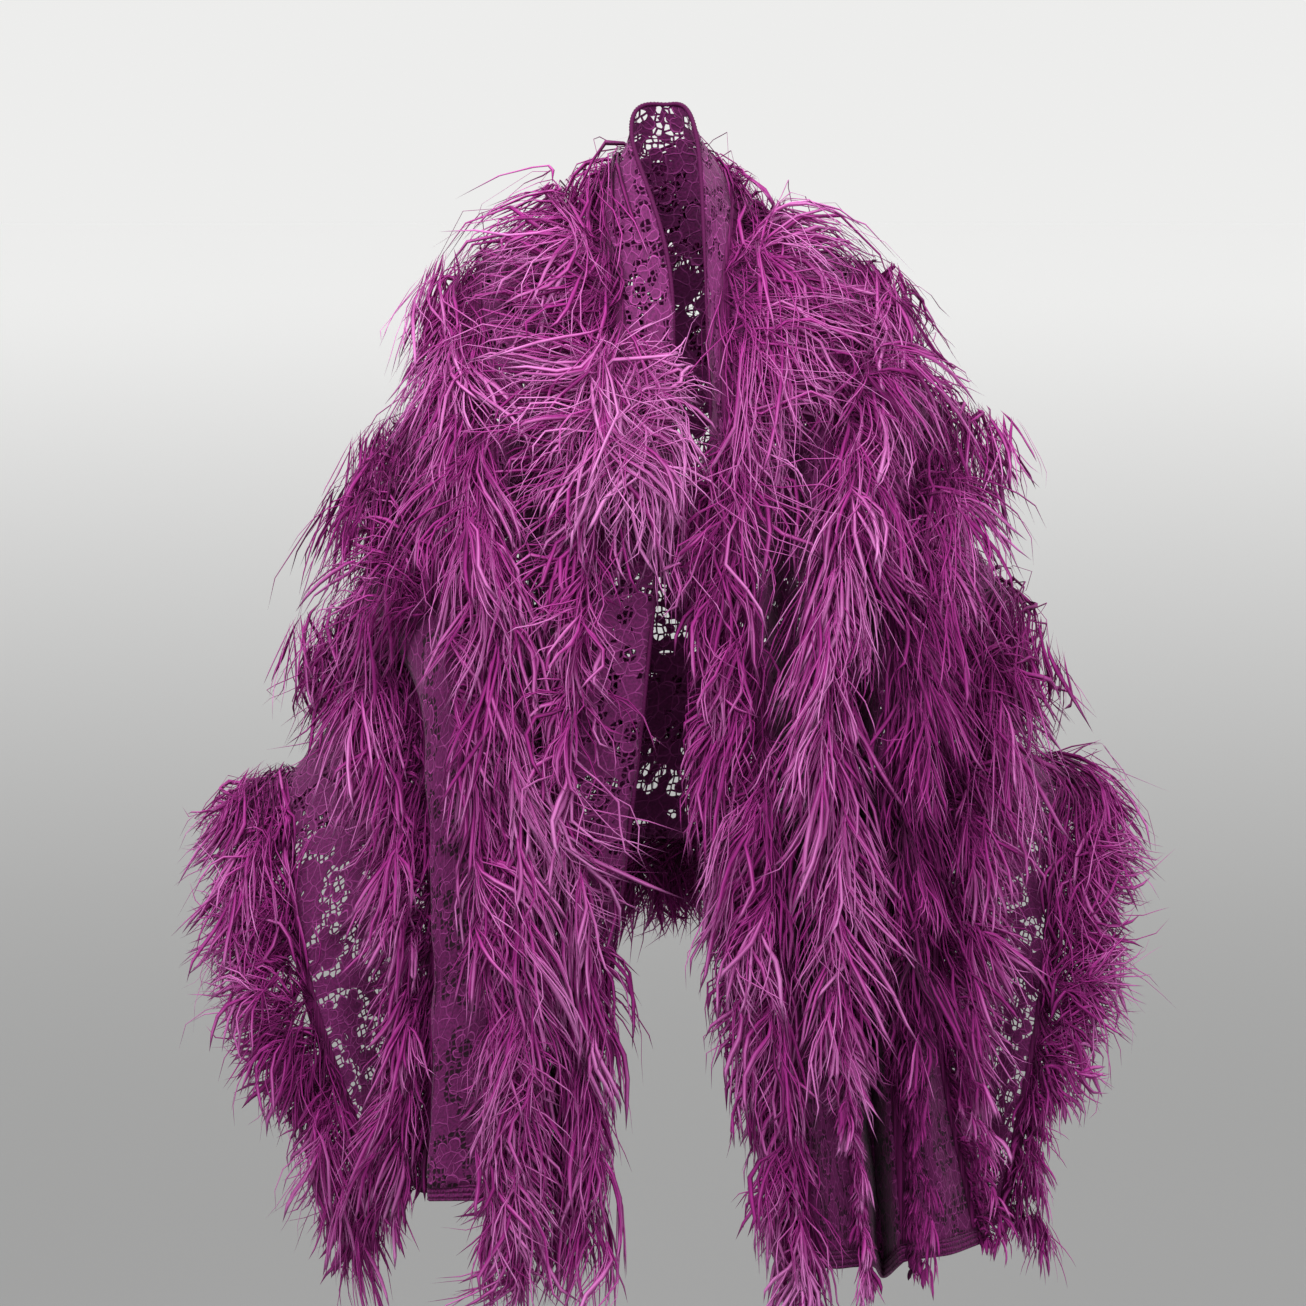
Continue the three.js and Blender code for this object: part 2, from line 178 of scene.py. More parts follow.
# Where a row begins to turn straight down towards a hem, where it has done so, and how far it does
END_STRAIGHT = [
    {"left": (0.6, 0.76, 1.0)},
    {},
    {},
    {},
    {"left": (0.7, 0.9, 0.9), "right": (0.72, 0.9, 0.85)},
]
STRAIGHT_DOWN = 1.1

# Towards the right hem the feathers are short and hang close, so that the lace panels show
BARE_END_GROWS = (0.86, 0.94)
BARE_END_LENGTH = (0.75, 0.2, 0.2, 0.2, 0.25)
BARE_END_FAN = 0.35

# The room that the feathers keep to, as its two corners, and how short barbs that would leave it are made
FEATHER_ROOM = ((-444, -250, -1046), (472, 212, 105))
ROOM_EVENNESS = (0.8, 1)
LEAST_SHORT = 0.05

# How far behind the middle of their tape the feathers start, so that they cover it, and how near the hems
ROOT_BACK = 6
ROW_ENDS = (0.004, 0.996)

# Shares of a feather's length that its shaft and its longest barbs have
SHAFT_SHARE = 0.32
BARB_SHARE = 0.84

# How the feathers, those of the plume and the barbs vary, from least to most, with waves in degrees
FEATHERS_VARY = {
    "place": (0.1, 0.9),
    "height": (0.2, 1.15),
    "length": (0.78, 1.15),
    "across": (-3, 3),
    "wave": (4, 24),
    "phase": (0, FULL_TURN),
    "open": (0.7, 1.3),
}
PLUME_VARIES = {
    "at_tip": (0.9, 1.5),
    "wave": (0, 14),
    "phase": (0, FULL_TURN),
    "length": (0.7, 1.15),
    "lift": (0.4, 1.0),
    "tip": (-0.6, 0.2),
    "open": (0.7, 1.3),
}
BARBS_VARY = {
    "place": (0, 1),
    "length": (0.7, 1.12),
    "lift": (-0.3, 0.4),
    "open": (0.5, 1.1),
    "wave": (4, 20),
    "phase": (0, FULL_TURN),
    "flyaway_lift": (0.1, 0.7),
    "width": (0.75, 1.2),
}
FAN_SPREAD = 0.8
TIP_SPREAD = 0.3
TIP_RANGE = (-0.7, 0.5)
CURL_LEAST = 14
CURL_PER_OPENING = 0.5
# Higher feathers are paler and lower ones deeper, painted shade for the depth of the plumage
PAINTED_SHADE_WITH_HEIGHT = 0.2
USUAL_HEIGHT = 0.6
PALE_SPREAD = 0.1

# The barbs of a feather: how they crowd to its root, lie to the side that falls, curl in degrees and hang
ROOT_CROWDING = 1.7
FALLING_SIDE = 0.35
LOOSE_SHARE = 0.1
FLYAWAY_LENGTH = 1.2
FLYAWAY_WIDTH = 0.6
FLYAWAY_CURL = 48
LOOSE_CURL = 30
BARB_CURL = 20
BARB_PALE_SPREAD = 0.07
SHORTER_TO_TIP = 0.2
SHIFT_SHARE = 0.5
SHIFT_LESS = 0.6
OPEN_AT_ROOT = 1.15
OPEN_LESS = 0.8
DROOP = 0.7
LEAST_RISE = 3
LEAST_SPEED = 0.3

# The radians that shafts, barbs and all the barbs of a feather together wave through along their length
SHAFT_WAVES = 7
BARB_WAVES = 6
SHARED_WAVES = 5

# The share of barbs that lie together as broad soft ones, how much deeper they are as painted shade, and
# both widths as shares of the usual one
BROAD_SHARE = 0.3
BROAD_WIDTH = 2.0
BROAD_PAINTED_SHADE = 0.05
FINE_WIDTH = 0.75

# How much of its width a barb has at each ring, the height of its ridge as a share of half that, and its
# twist in degrees at the root and from there to the tip
BARB_WIDTHS = np.array([0.85, 1.1, 1.05, 0.85])
BARB_HEIGHT = 0.7
BARB_TWIST = 38
BARB_TWIST_ON = 30

# How pale a barb is at the root, how much paler at the tip and on its ridge, and how far apart grains start:
# dark roots are painted shade deep in the plumage, the pale ridge a painted highlight
SHADE_AT_ROOT = 0.06
SHADE_TO_TIP = 0.72
SHADE_BEND = 0.8
RIDGE_PAINTED_LIGHT = (-0.1, -0.1, 0.12)
RIDGE_SIDES = (-0.5, 0.5, 0)
GRAIN_APART = 17.3

# The large pale plume on the left of the first row, whose feathers open all round: its place and size
PLUME_HEIGHT = -205
PLUME_SPREAD = 24
PLUME_SPREAD_ACROSS = 8
PLUME_SPREAD_ROUND = 0.25
PLUME_FEATHERS = 20
PLUME_LENGTH = 104
PLUME_LIFT = 66
PLUME_OPEN = 70
PLUME_CURL = 55
PLUME_PALER = 0.32
PLUME_PALE_SPREAD = 0.08
PLUME_FLYAWAY = 0.05

# Fineness of the lace, of a barb and of the trims
LACE_STEPS_ALONG = 300
LACE_STEPS_ACROSS = 96
BARB_STEPS = 5
BARB_CORNERS = 3
HEM_STEPS = 13
HEM_STEPS_ACROSS = 220
EDGE_STEPS = 1800
EDGE_CORNERS = 8
TAPE_STEPS = 300
TAPE_STEPS_ACROSS = 4

# The ridges of the hems and of the edge's stitches, and the header tapes, in millimetres
HEM_RIDGE_DEPTH = 0.7
HEM_RIDGE_PITCH = 5.0
STITCH_PITCH = 3.4
STITCH_SHARE = 0.16
TAPE_THICKNESS = 1.6
TAPE_OFFSET = 1.0
TAPE_ENDS = (0.008, 0.992)
TAPE_SHADE = 0.1

FIRST_SEED = 100


def linear(hex_colour):
    """A colour given as an sRGB hex value, in linear light."""
    parts = [int(hex_colour[k : k + 2], 16) / 255 for k in (1, 3, 5)]
    return tuple(c / 12.92 if c <= 0.04045 else ((c + 0.055) / 1.055) ** 2.4 for c in parts)


def smoothstep(value, low, high):
    share = np.clip((value - low) / (high - low), 0, 1)
    return share * share * (3 - 2 * share)


def unit(vectors):
    return vectors / np.maximum(np.linalg.norm(vectors, axis=-1, keepdims=True), 1e-9)


def hem_reach(along):
    """How far places are from the middle of the back, 0, on the way to a hem, 1."""
    return np.abs(2 * along - 1)


# The hang, as smooth curves and one smooth surface


def smooth_way(start, end, start_slope, end_slope, w):
    """Points of a curve from a start to an end with given slopes, at shares of the way."""
    rise = w * w * (3 - 2 * w)
    return start + (end - start) * rise + start_slope * (w**3 - 2 * w**2 + w) + end_slope * (w**3 - w**2)


def catmull_rom(points, places):
    """Points of a smooth curve through points, at places counted from 0 at the first of them."""
    ends = np.stack([2 * points[0] - points[1], 2 * points[-1] - points[-2]])
    padded = np.concatenate([ends[:1], points, ends[1:]])
    k = np.clip(np.floor(places).astype(int), 0, len(points) - 2)
    w = (places - k).reshape(places.shape + (1,) * (points.ndim - 1))
    p0, p1, p2, p3 = (padded[k + step] for step in range(4))
    return smooth_way(p1, p2, (p2 - p0) / 2, (p3 - p1) / 2, w)


def line_stations(line):
    """The points of a hang line, from the left hem over the back to the right hem."""
    left = [(-x, y, z) for x, y, z in reversed(line["left"])]
    return np.array([*left, (0, *line["back"]), *line["right"]], float)


def even_places(stations):
    """Places on a curve, and how long the curve is up to each of them."""
    places = np.linspace(0, len(stations) - 1, 1601)
    steps = np.linalg.norm(np.diff(catmull_rom(stations, places), axis=0), axis=1)
    run = np.concatenate([[0], np.cumsum(steps)])
    return places, run


HANG_STATIONS = [line_stations(line) for line in HANG]
HANG_PLACES = [even_places(stations) for stations in HANG_STATIONS]
LACE_LENGTH = max(run[-1] for _, run in HANG_PLACES)
END_STEP = 0.004


def on_line(line, shares):
    """Points of a hang line at shares along it."""
    places, run = HANG_PLACES[line]
    return catmull_rom(HANG_STATIONS[line], np.interp(shares * run[-1], run, places))


def line_points(along):
    """Points of all hang lines at shares along them, straight on past the hems: (line, share, xyz)."""
    held = np.clip(along, 0, 1)
    beyond = (along - held)[:, None]
    rows = []
    for line in range(len(HANG)):
        ends = on_line(line, np.array([0, END_STEP, 1 - END_STEP, 1]))
        slopes = (ends[1::2] - ends[0::2]) / END_STEP
        rows.append(on_line(line, held) + beyond * np.where(beyond < 0, slopes[0], slopes[1]))
    return np.stack(rows)


def flute(points, along, across):
    """Swings points of the loose lower back in and out."""
    reach = hem_reach(along)
    fade = 1 - smoothstep(reach, *FLUTE_FADES)
    wave = np.cos(FULL_TURN * FLUTES_PER_HALF * reach)
    plan = unit(points * np.array(FLUTE_WAY))
    depth = FLUTE_DEPTH * (np.clip(across, 0, LACE_WIDTH) / LACE_WIDTH) ** 2 * fade * wave
    return points + plan * depth[..., None]


# The grid of the hang surface, past the edges of the lace: the first place, the last and their number
SURFACE_ALONG = (-0.1, 1.1, 481)
SURFACE_ACROSS = (-60, 960, 205)


def cells_of(values, axis):
    """Which steps of an even axis hold values, and how far on in them the values are."""
    at = np.clip((values - axis[0]) / (axis[1] - axis[0]), 0, len(axis) - 1.001)
    step = at.astype(int)
    return step, (at - step)[..., None]


class HangSurface:
    """The smooth surface that the feathers fall over, as an even grid."""

    def __init__(self):
        self.along = np.linspace(*SURFACE_ALONG)
        self.across = np.linspace(*SURFACE_ACROSS)
        lines = line_points(self.along)
        held = np.clip(self.across, 0, ROW_ACROSS[-1])
        first = held / EDGE_TO_FIRST_ROW
        later = 1 + (held - EDGE_TO_FIRST_ROW) / ROW_SPACING
        points = catmull_rom(lines, np.where(held < EDGE_TO_FIRST_ROW, first, later))
        step = 0.01
        start = (catmull_rom(lines, np.array([step]))[0] - lines[0]) / (step * EDGE_TO_FIRST_ROW)
        end = (lines[-1] - catmull_rom(lines, np.array([ROW_COUNT - step]))[0]) / (step * ROW_SPACING)
        beyond = (self.across - held)[:, None, None]
        points = points + beyond * np.where(beyond < 0, start, end)
        points = np.swapaxes(points, 0, 1)
        self.points = flute(points, self.along[:, None], self.across[None, :])
        along_slope = np.gradient(self.points, self.along, axis=0)
        across_slope = np.gradient(self.points, self.across, axis=1)
        self.along_speed = np.linalg.norm(along_slope, axis=-1, keepdims=True)
        self.across_speed = np.linalg.norm(across_slope, axis=-1, keepdims=True)
        self.along_way = unit(along_slope)
        self.across_way = unit(across_slope)
        self.outward = unit(np.cross(along_slope, across_slope))

    def read(self, name, along, across):
        """Values of one of the grids at places on the surface, between its points."""
        grid = getattr(self, name)
        i, s = cells_of(along, self.along)
        j, t = cells_of(across, self.across)
        near = grid[i, j] * (1 - t) + grid[i, j + 1] * t
        far = grid[i + 1, j] * (1 - t) + grid[i + 1, j + 1] * t
        return near * (1 - s) + far * s


HANG_SURFACE = HangSurface()


# The lace, with its folds


def fold_points(along, row, points):
    """The folds between a row and the next, in the middle of the slack that they leave."""
    sides = FOLDS[row - 1]
    is_left = (along < 0.5)[:, None]
    fall, end_fall, lean, drop = np.where(is_left, sides["left"], sides["right"]).T
    reach = hem_reach(along)
    share = smoothstep(reach, *FOLD_GROWS)
    chord = points[row + 1] - points[row]
    span = np.linalg.norm(chord, axis=1) - HEADER_WIDTH
    slack = np.sqrt(np.maximum(0, (ROW_SPACING - HEADER_WIDTH) ** 2 - span**2)) / 2
    fold = (points[row] + points[row + 1]) / 2 + unit(chord) * (lean * share)[:, None]
    turned = smoothstep(reach, *FOLD_TURNS)
    fold[:, 1] += (fall + (end_fall - fall) * turned) * slack * share
    fold[:, 2] -= drop * smoothstep(reach, *FOLD_DROPS)
    return fold


def lace_lines(along):
    """Places across the lace and points there: the neck edge, then each header's two edges and a fold."""
    points = line_points(along)
    folds = [fold_points(along, row, points) for row in range(1, ROW_COUNT)]
    places = [0]
    lines = [points[0]]
    for row in range(ROW_COUNT):
        point = points[row + 1]
        before = folds[row - 1] if row > 0 else points[0]
        after = folds[row] if row < ROW_COUNT - 1 else point
        later = points[row + 2] if row < ROW_COUNT - 1 else point
        flat = unit(HEADER_LEVEL * unit(later - points[row]) + unit(after - before)) * HEADER_WIDTH / 2
        places += [ROW_ACROSS[row] - HEADER_WIDTH / 2, ROW_ACROSS[row] + HEADER_WIDTH / 2]
        lines += [point - flat, point + flat]
        if row < ROW_COUNT - 1:
            places.append(ROW_ACROSS[row] + ROW_SPACING / 2)
            lines.append(folds[row])
    places = np.array(places, float)
    lines = np.stack(lines, axis=1)
    return places, flute(lines, along[:, None], places[None, :])


def rounded(places, values, wanted):
    """Values at wanted places on smooth curves that never swing past the given ones."""
    gaps = np.diff(places)[None, :, None]
    slopes = np.diff(values, axis=1) / gaps
    same_way = slopes[:, :-1] * slopes[:, 1:] > 0
    mean = 2 * slopes[:, :-1] * slopes[:, 1:] / np.where(same_way, slopes[:, :-1] + slopes[:, 1:], 1)
    inner = np.where(same_way, mean, 0)
    tangents = np.concatenate([slopes[:, :1], inner, slopes[:, -1:]], axis=1)
    k = np.clip(np.searchsorted(places, wanted, side="right") - 1, 0, len(places) - 2)
    gap = (places[k + 1] - places[k])[None, :, None]
    w = (wanted - places[k])[None, :, None] / gap
    return smooth_way(values[:, k], values[:, k + 1], tangents[:, k] * gap, tangents[:, k + 1] * gap, w)


def cloth_points(along, across):
    """A grid of points on the folded cloth, and the ways out of it."""
    points = rounded(*lace_lines(along), across)
    along_slope = np.gradient(points, axis=0)
    across_slope = np.gradient(points, axis=1)
    return points, unit(np.cross(along_slope, across_slope))


def lace_points(along, across, ripple_depth):
    """A grid of points on the lace, with small ripples between the rows."""
    points, normals = cloth_points(along, across)
    near_row = np.min(np.abs(across[:, None] - np.array(ROW_ACROSS)), axis=1)
    free = smoothstep(near_row, HEADER_WIDTH / 2, ROW_SPACING / 3)[None, :]
    u = (along * LACE_LENGTH)[:, None]
    v = across[None, :]
    ripple = np.sin(u / 21 + 1.3 * np.sin(v / 47)) + 0.7 * np.sin(u / 13 - v / 31 + 2)
    ripple = ripple + 0.6 * np.sin(v / 17 + u / 57)
    return points + normals * (ripple_depth * free * ripple / 2)[..., None]


# Meshes


def grid_faces(rows, columns):
    i, j = np.meshgrid(np.arange(rows - 1), np.arange(columns - 1), indexing="ij")
    corner = (i * columns + j).ravel()
    return np.stack([corner, corner + columns, corner + columns + 1, corner + 1], axis=1)


def tube_faces(rings, corners):
    """Faces of a tube between rings of corners."""
    i, j = np.meshgrid(np.arange(rings - 1), np.arange(corners), indexing="ij")
    near = i * corners + j
    side = i * corners + (j + 1) % corners
    return np.stack([near, side, side + corners, near + corners], axis=-1).reshape(-1, 4)


def closed_tube_faces(rings, corners):
    """Faces of a tube between rings of corners, and of its two ends."""
    last = (rings - 1) * corners
    ends = [list(range(corners))[::-1], list(range(last, last + corners))]
    return tube_faces(rings, corners).tolist() + ends


def new_object(name, data):
    made = bpy.data.objects.new(name, data)
    bpy.context.scene.collection.objects.link(made)
    return made


def mesh_piece(name, points, faces, material):
    """A new smooth piece of the shawl, at the origin, from points in millimetres."""
    mesh = bpy.data.meshes.new(name)
    mesh.from_pydata((np.asarray(points).reshape(-1, 3) * MM).tolist(), [], faces)
    mesh.shade_smooth()
    mesh.materials.append(material)
    return new_object(name, mesh)


def thicken(piece, thickness):
    """Gives a sheet its thickness, half to each side."""
    bpy.ops.object.select_all(action="DESELECT")
    bpy.context.view_layer.objects.active = piece
    piece.select_set(True)
    solidify = piece.modifiers.new("Thickness", "SOLIDIFY")
    solidify.thickness = thickness
    solidify.offset = 0
    bpy.ops.object.modifier_apply(modifier=solidify.name)
    piece.select_set(False)


def cloth_piece(name, points, along, across, material, thickness):
    """A piece of the cloth with its thickness and the cloth's own map, in metres of flat cloth."""
    piece = mesh_piece(name, points, grid_faces(len(along), len(across)).tolist(), material)
    u, v = np.meshgrid(along * CUT_LENGTH / MM, across, indexing="ij")
    flat = np.stack([u.ravel(), v.ravel()], axis=1) * MM
    corners = np.zeros(len(piece.data.loops), np.int32)
    piece.data.loops.foreach_get("vertex_index", corners)
    layer = piece.data.uv_layers.new(name="LaceUV")
    layer.data.foreach_set("uv", flat[corners].astype(np.float32).ravel())
    thicken(piece, thickness)
    return piece


def dress(piece, slot, *nodes):
    """Lets a piece stand for solids and ride with them."""
    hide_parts(*nodes)
    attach(piece, BODY)


# Materials


def set_inputs(node, inputs):
    """Sets a node's inputs, by name or in order, to values, opaque colours or the outputs of other nodes."""
    for name, value in inputs.items() if isinstance(inputs, dict) else enumerate(inputs):
        if isinstance(value, bpy.types.NodeSocket):
            node.id_data.links.new(value, node.inputs[name])
        else:
            node.inputs[name].default_value = (*value, 1) if isinstance(value, Color) else value


def add_node(tree, kind, inputs=(), output=0, **settings):
    """Adds a node, of a kind and perhaps an operation, with its inputs, and gives one of its outputs."""
    kind, *operation = kind.split()
    node = tree.nodes.new("ShaderNode" + kind)
    if operation:
        node.operation = operation[0]
    for name, value in settings.items():
        setattr(node, name, value)
    set_inputs(node, inputs)
    return node.outputs[output]


def new_material(name):
    """A new material, what adds nodes to it, and its shader."""
    material = bpy.data.materials.new(name)
    material.use_nodes = True
    tree = material.node_tree
    return material, partial(add_node, tree), tree.nodes["Principled BSDF"]


# The millimetre sizes that the lace's patterns are drawn at
NET_CELL = 6.8
NET_THREAD = 0.8
FLOWER_SPACING = 46
PETAL_NEAR = 9
PETAL_REACH = 10
CENTRE_RADIUS = 7.8
RING_WIDTH = 8
CORD_HALF_WIDTH = 0.8
LEAF_CELL = 14
DRIFT = 12
DRIFT_SIZE = 22
PATCH_SIZE = 34
STITCH_SIZE = 3.2
HEM_CORD_CELL = 5.0
EDGE_THREAD_SIZE = 1.6

# The flowers: their number of petals, turn in radians, least size and range of sizes, how round the petals
# are, the share of hearts without net, and the level that makes stretches of net in the rings
PETALS = 5
FLOWER_TURN = 6.28
FLOWER_LEAST_SIZE = 0.72
FLOWER_SIZE_RANGE = 0.5
PETAL_ROUNDING = 0.6
SOLID_HEARTS = 0.2
RING_NET_LEVEL = 0.45

# The barbules of a feather, in millimetres, drawn coarser than real so that they show
BARBULE_WIDTH = 1.1
BARBULE_LENGTH = 22

# What makes cells give the distance from their edges, a range turn softly and a mix take colours
CELL_EDGES = {"voronoi_dimensions": "2D", "feature": "DISTANCE_TO_EDGE"}
SOFT = {"interpolation_type": "SMOOTHSTEP"}
COLOURS = {"data_type": "RGBA", "output": "Result"}

# Where the front lies on a fold of itself, at the left end and at the right: millimetres along from the left
# hem, and across from the neck edge
DOUBLED = (((0, 620), (390, 532)), ((1760, 2130), (70, 536)))


def cloth_millimetres(add):
    """The cloth's own map, in millimetres."""
    place = add("UVMap", uv_map="LaceUV")
    return add("VectorMath SCALE", {0: place, "Scale": 1 / MM})


def corded_lace_material(settings):
    """Corded cotton lace, knitted net with flowers outlined in thick cord: matt, pierced and ridged."""
    material, add, shader = new_material("corded_cotton_lace")
    mm = cloth_millimetres(add)
    drift = add("TexNoise", {"Vector": mm, "Scale": 1 / DRIFT_SIZE, "Detail": 2.0}, "Color")
    swing = add("VectorMath MULTIPLY_ADD", [drift, (DRIFT, DRIFT, 0), mm])

    # Flowers of five petals: how far a point is outside the outline of the nearest one
    flower_cells = {"Vector": swing, "Scale": 1 / FLOWER_SPACING, "Randomness": 0.8}
    flower = add("TexVoronoi", flower_cells, voronoi_dimensions="2D").node.outputs
    chance = add("SeparateColor", [flower["Color"]]).node.outputs
    local = add("VectorMath SUBTRACT", [swing, flower["Position"]])
    radius = add("VectorMath LENGTH", [local], "Value")
    parts = add("SeparateXYZ", [local]).node.outputs
    round_way = add("Math ARCTAN2", [parts["Y"], parts["X"]])
    spun = add("Math MULTIPLY_ADD", [chance["Red"], FLOWER_TURN, round_way])
    half_turns = add("Math MULTIPLY", [spun, PETALS / 2])
    lobes = add("Math COSINE", [half_turns])
    lobe = add("Math ABSOLUTE", [lobes])
    round_lobe = add("Math POWER", [lobe, PETAL_ROUNDING])
    petal = add("Math MULTIPLY_ADD", [round_lobe, PETAL_REACH, PETAL_NEAR])
    size = add("Math MULTIPLY_ADD", [chance["Green"], FLOWER_SIZE_RANGE, FLOWER_LEAST_SIZE])
    outline = add("Math MULTIPLY", [petal, size])
    outside = add("Math SUBTRACT", [radius, outline])

    # Net shows in the heart of some flowers and in stretches of a ring round them
    net = add("TexVoronoi", {"Vector": mm, "Scale": 1 / NET_CELL, "Randomness": 0.55}, **CELL_EDGES)
    is_gap = add("Math GREATER_THAN", [net, NET_THREAD / NET_CELL])
    heart = add("Math LESS_THAN", [radius, CENTRE_RADIUS])
    has_heart = add("Math GREATER_THAN", [chance["Blue"], SOLID_HEARTS])
    open_heart = add("Math MULTIPLY", [heart, has_heart])
    to_ring = add("Math SUBTRACT", [outside, CORD_HALF_WIDTH + RING_WIDTH / 2])
    from_ring = add("Math ABSOLUTE", [to_ring])
    ring = add("Math LESS_THAN", [from_ring, RING_WIDTH / 2])
    patches = add("TexNoise", {"Vector": mm, "Scale": 1 / PATCH_SIZE, "Detail": 1.0})
    is_patch = add("Math GREATER_THAN", [patches, RING_NET_LEVEL])
    open_ring = add("Math MULTIPLY", [ring, is_patch])
    is_net = add("Math MAXIMUM", [open_heart, open_ring])
    hole = add("Math MULTIPLY", [is_net, is_gap])

    # Where the lace lies doubled, its holes show the cloth behind, painted near black as the shade in the
    # fold
    spot = add("SeparateXYZ", [mm]).node.outputs
    doubled = 0.0
    for patch in DOUBLED:
        within = [
            add("Math COMPARE", [spot[axis], (low + high) / 2, (high - low) / 2])
            for axis, (low, high) in zip("XY", patch)
        ]
        both = add("Math MULTIPLY", within)
        doubled = add("Math MAXIMUM", [doubled, both])
    shaded_backing = add("Math MULTIPLY", [hole, doubled])
    see_through = add("Math SUBTRACT", [hole, shaded_backing])
    solid = add("Math SUBTRACT", [1.0, see_through])

    # Cords round the petals, and finer ones round the leaves between them
    from_outline = add("Math ABSOLUTE", [outside])
    near = 0.3 * CORD_HALF_WIDTH
    far = 1.4 * CORD_HALF_WIDTH
    cord_range = {"Value": from_outline, "From Min": near, "From Max": far, "To Min": 1.0, "To Max": 0.0}
    petal_cord = add("MapRange", cord_range, **SOFT)
    leaf_edge = add("TexVoronoi", {"Vector": swing, "Scale": 1 / LEAF_CELL, "Randomness": 1.0}, **CELL_EDGES)
    leaf_range = {"Value": leaf_edge, "From Min": 0.01, "From Max": 0.075, "To Min": 0.6, "To Max": 0.0}
    leaf_cord = add("MapRange", leaf_range, **SOFT)
    cord = add("Math MAXIMUM", [petal_cord, leaf_cord])

    # Uneven filling stitches, drawn coarser than thread so that they show; the low ones take the darker
    # colour, partly their own uneven tone and partly painted shade
    stitches = add("TexNoise", {"Vector": mm, "Scale": 1 / STITCH_SIZE, "Detail": 3.0})
    uneven = add("MapRange", {"Value": stitches, "From Min": 0.34, "From Max": 0.66})
    colour = settings.shade_colour
    layers = (uneven, settings.fill_colour), (cord, settings.cord_colour), (shaded_backing, settings.backing_shade_colour)
    for share, over in layers:
        colour = add("Mix", {"Factor": share, "A": colour, "B": over}, **COLOURS)
    height = add("Math MULTIPLY_ADD", [uneven, 0.35, cord])
    bump = add("Bump", {"Strength": 0.7, "Distance": 1.2 * MM, "Height": height})
    set_inputs(shader, {
        "Base Color": colour,
        "Alpha": solid,
        "Normal": bump,
        "Roughness": 0.75,
        "Specular IOR Level": 0.2,
        "Sheen Weight": 0.08,
        "Sheen Roughness": 0.5,
    })
    return material


def dense_hem_material(settings):
    """The same cotton worked solid, as a border of close cords: matt, ridged and a little darker, with
    painted shade between the cords.
    """
    material, add, shader = new_material("dense_corded_hem")
    mm = cloth_millimetres(add)
    cells = add("TexVoronoi", {"Vector": mm, "Scale": 1 / HEM_CORD_CELL, "Randomness": 0.7}, **CELL_EDGES)
    cord_range = {"Value": cells, "From Min": 0.02, "From Max": 0.28, "To Min": 1.0, "To Max": 0.0}
    cord = add("MapRange", cord_range, **SOFT)
    # The cords take the filling colour, and the low places between them the darker one as painted shade
    colour = add("Mix", {"Factor": cord, "A": settings.shade_colour, "B": settings.fill_colour}, **COLOURS)
    bump = add("Bump", {"Strength": 0.8, "Distance": 1.0 * MM, "Height": cord})
    set_inputs(shader, {
        "Base Color": colour,
        "Normal": bump,
        "Roughness": 0.75,
        "Specular IOR Level": 0.2,
        "Sheen Weight": 0.08,
    })
    return material


def overlocked_edge_material(settings):
    """Overlocked polyester thread wound closely round a rolled edge: matt, and unevenly dark near by."""
    material, add, shader = new_material("overlocked_thread")
    place = add("TexCoord", output="Object")
    threads = add("TexNoise", {"Vector": place, "Scale": 1 / (EDGE_THREAD_SIZE * MM), "Detail": 2.0})
    shades = {"Factor": threads, "A": settings.edge_colour, "B": settings.shade_colour}
    colour = add("Mix", shades, **COLOURS)
    set_inputs(shader, {"Base Color": colour, "Roughness": 0.7, "Specular IOR Level": 0.12})
    return material


def feather_material(settings):
    """Dyed ostrich barbs: soft and matt with a silky edge, dark at the root with painted shade and paler to
    the tip, with a painted highlight on each ridge.
    """
    material, add, shader = new_material("dyed_ostrich_barbs_painted_light")
    shade = add("Attribute", output="Fac", attribute_name="FeatherShade")
    grain = add("Attribute", output="Vector", attribute_name="FeatherGrain")
    drawn = add("VectorMath MULTIPLY", [grain, (1 / BARBULE_WIDTH, 1 / BARBULE_LENGTH, 0)])
    fuzz = add("TexNoise", {"Vector": drawn, "Scale": 1.0, "Detail": 1.0})
    varied = add("Math MULTIPLY_ADD", [fuzz, 0.5, shade])
    even = add("Math SUBTRACT", [varied, 0.25])
    colour = add("ValToRGB", [even])
    stops = colour.node.color_ramp.elements
    # The colour at the roots is painted shade, for the depth of the plumage
    stops[0].color = (*settings.root_shade_colour, 1)
    stops[1].color = (*settings.tip_colour, 1)
    stops.new(0.5).color = (*settings.barb_colour, 1)
    set_inputs(shader, {
        "Base Color": colour,
        "Roughness": 0.62,
        "Specular IOR Level": 0.1,
        "Sheen Weight": 0.07,
        "Sheen Roughness": 0.4,
        "Sheen Tint": settings.tip_colour,
    })
    return material


# Feathers

POINT_SHARES = np.linspace(0, 1, BARB_STEPS + 1)
STEP_SHARES = (POINT_SHARES[1:] + POINT_SHARES[:-1]) / 2


def draw(rng, ranges, count, name):
    """Even random values from one of the named ranges."""
    return rng.uniform(*ranges[name], count)


def as_columns(table):
    """The values of a table, each as a column."""
    return {name: values[:, None] for name, values in table.items()}


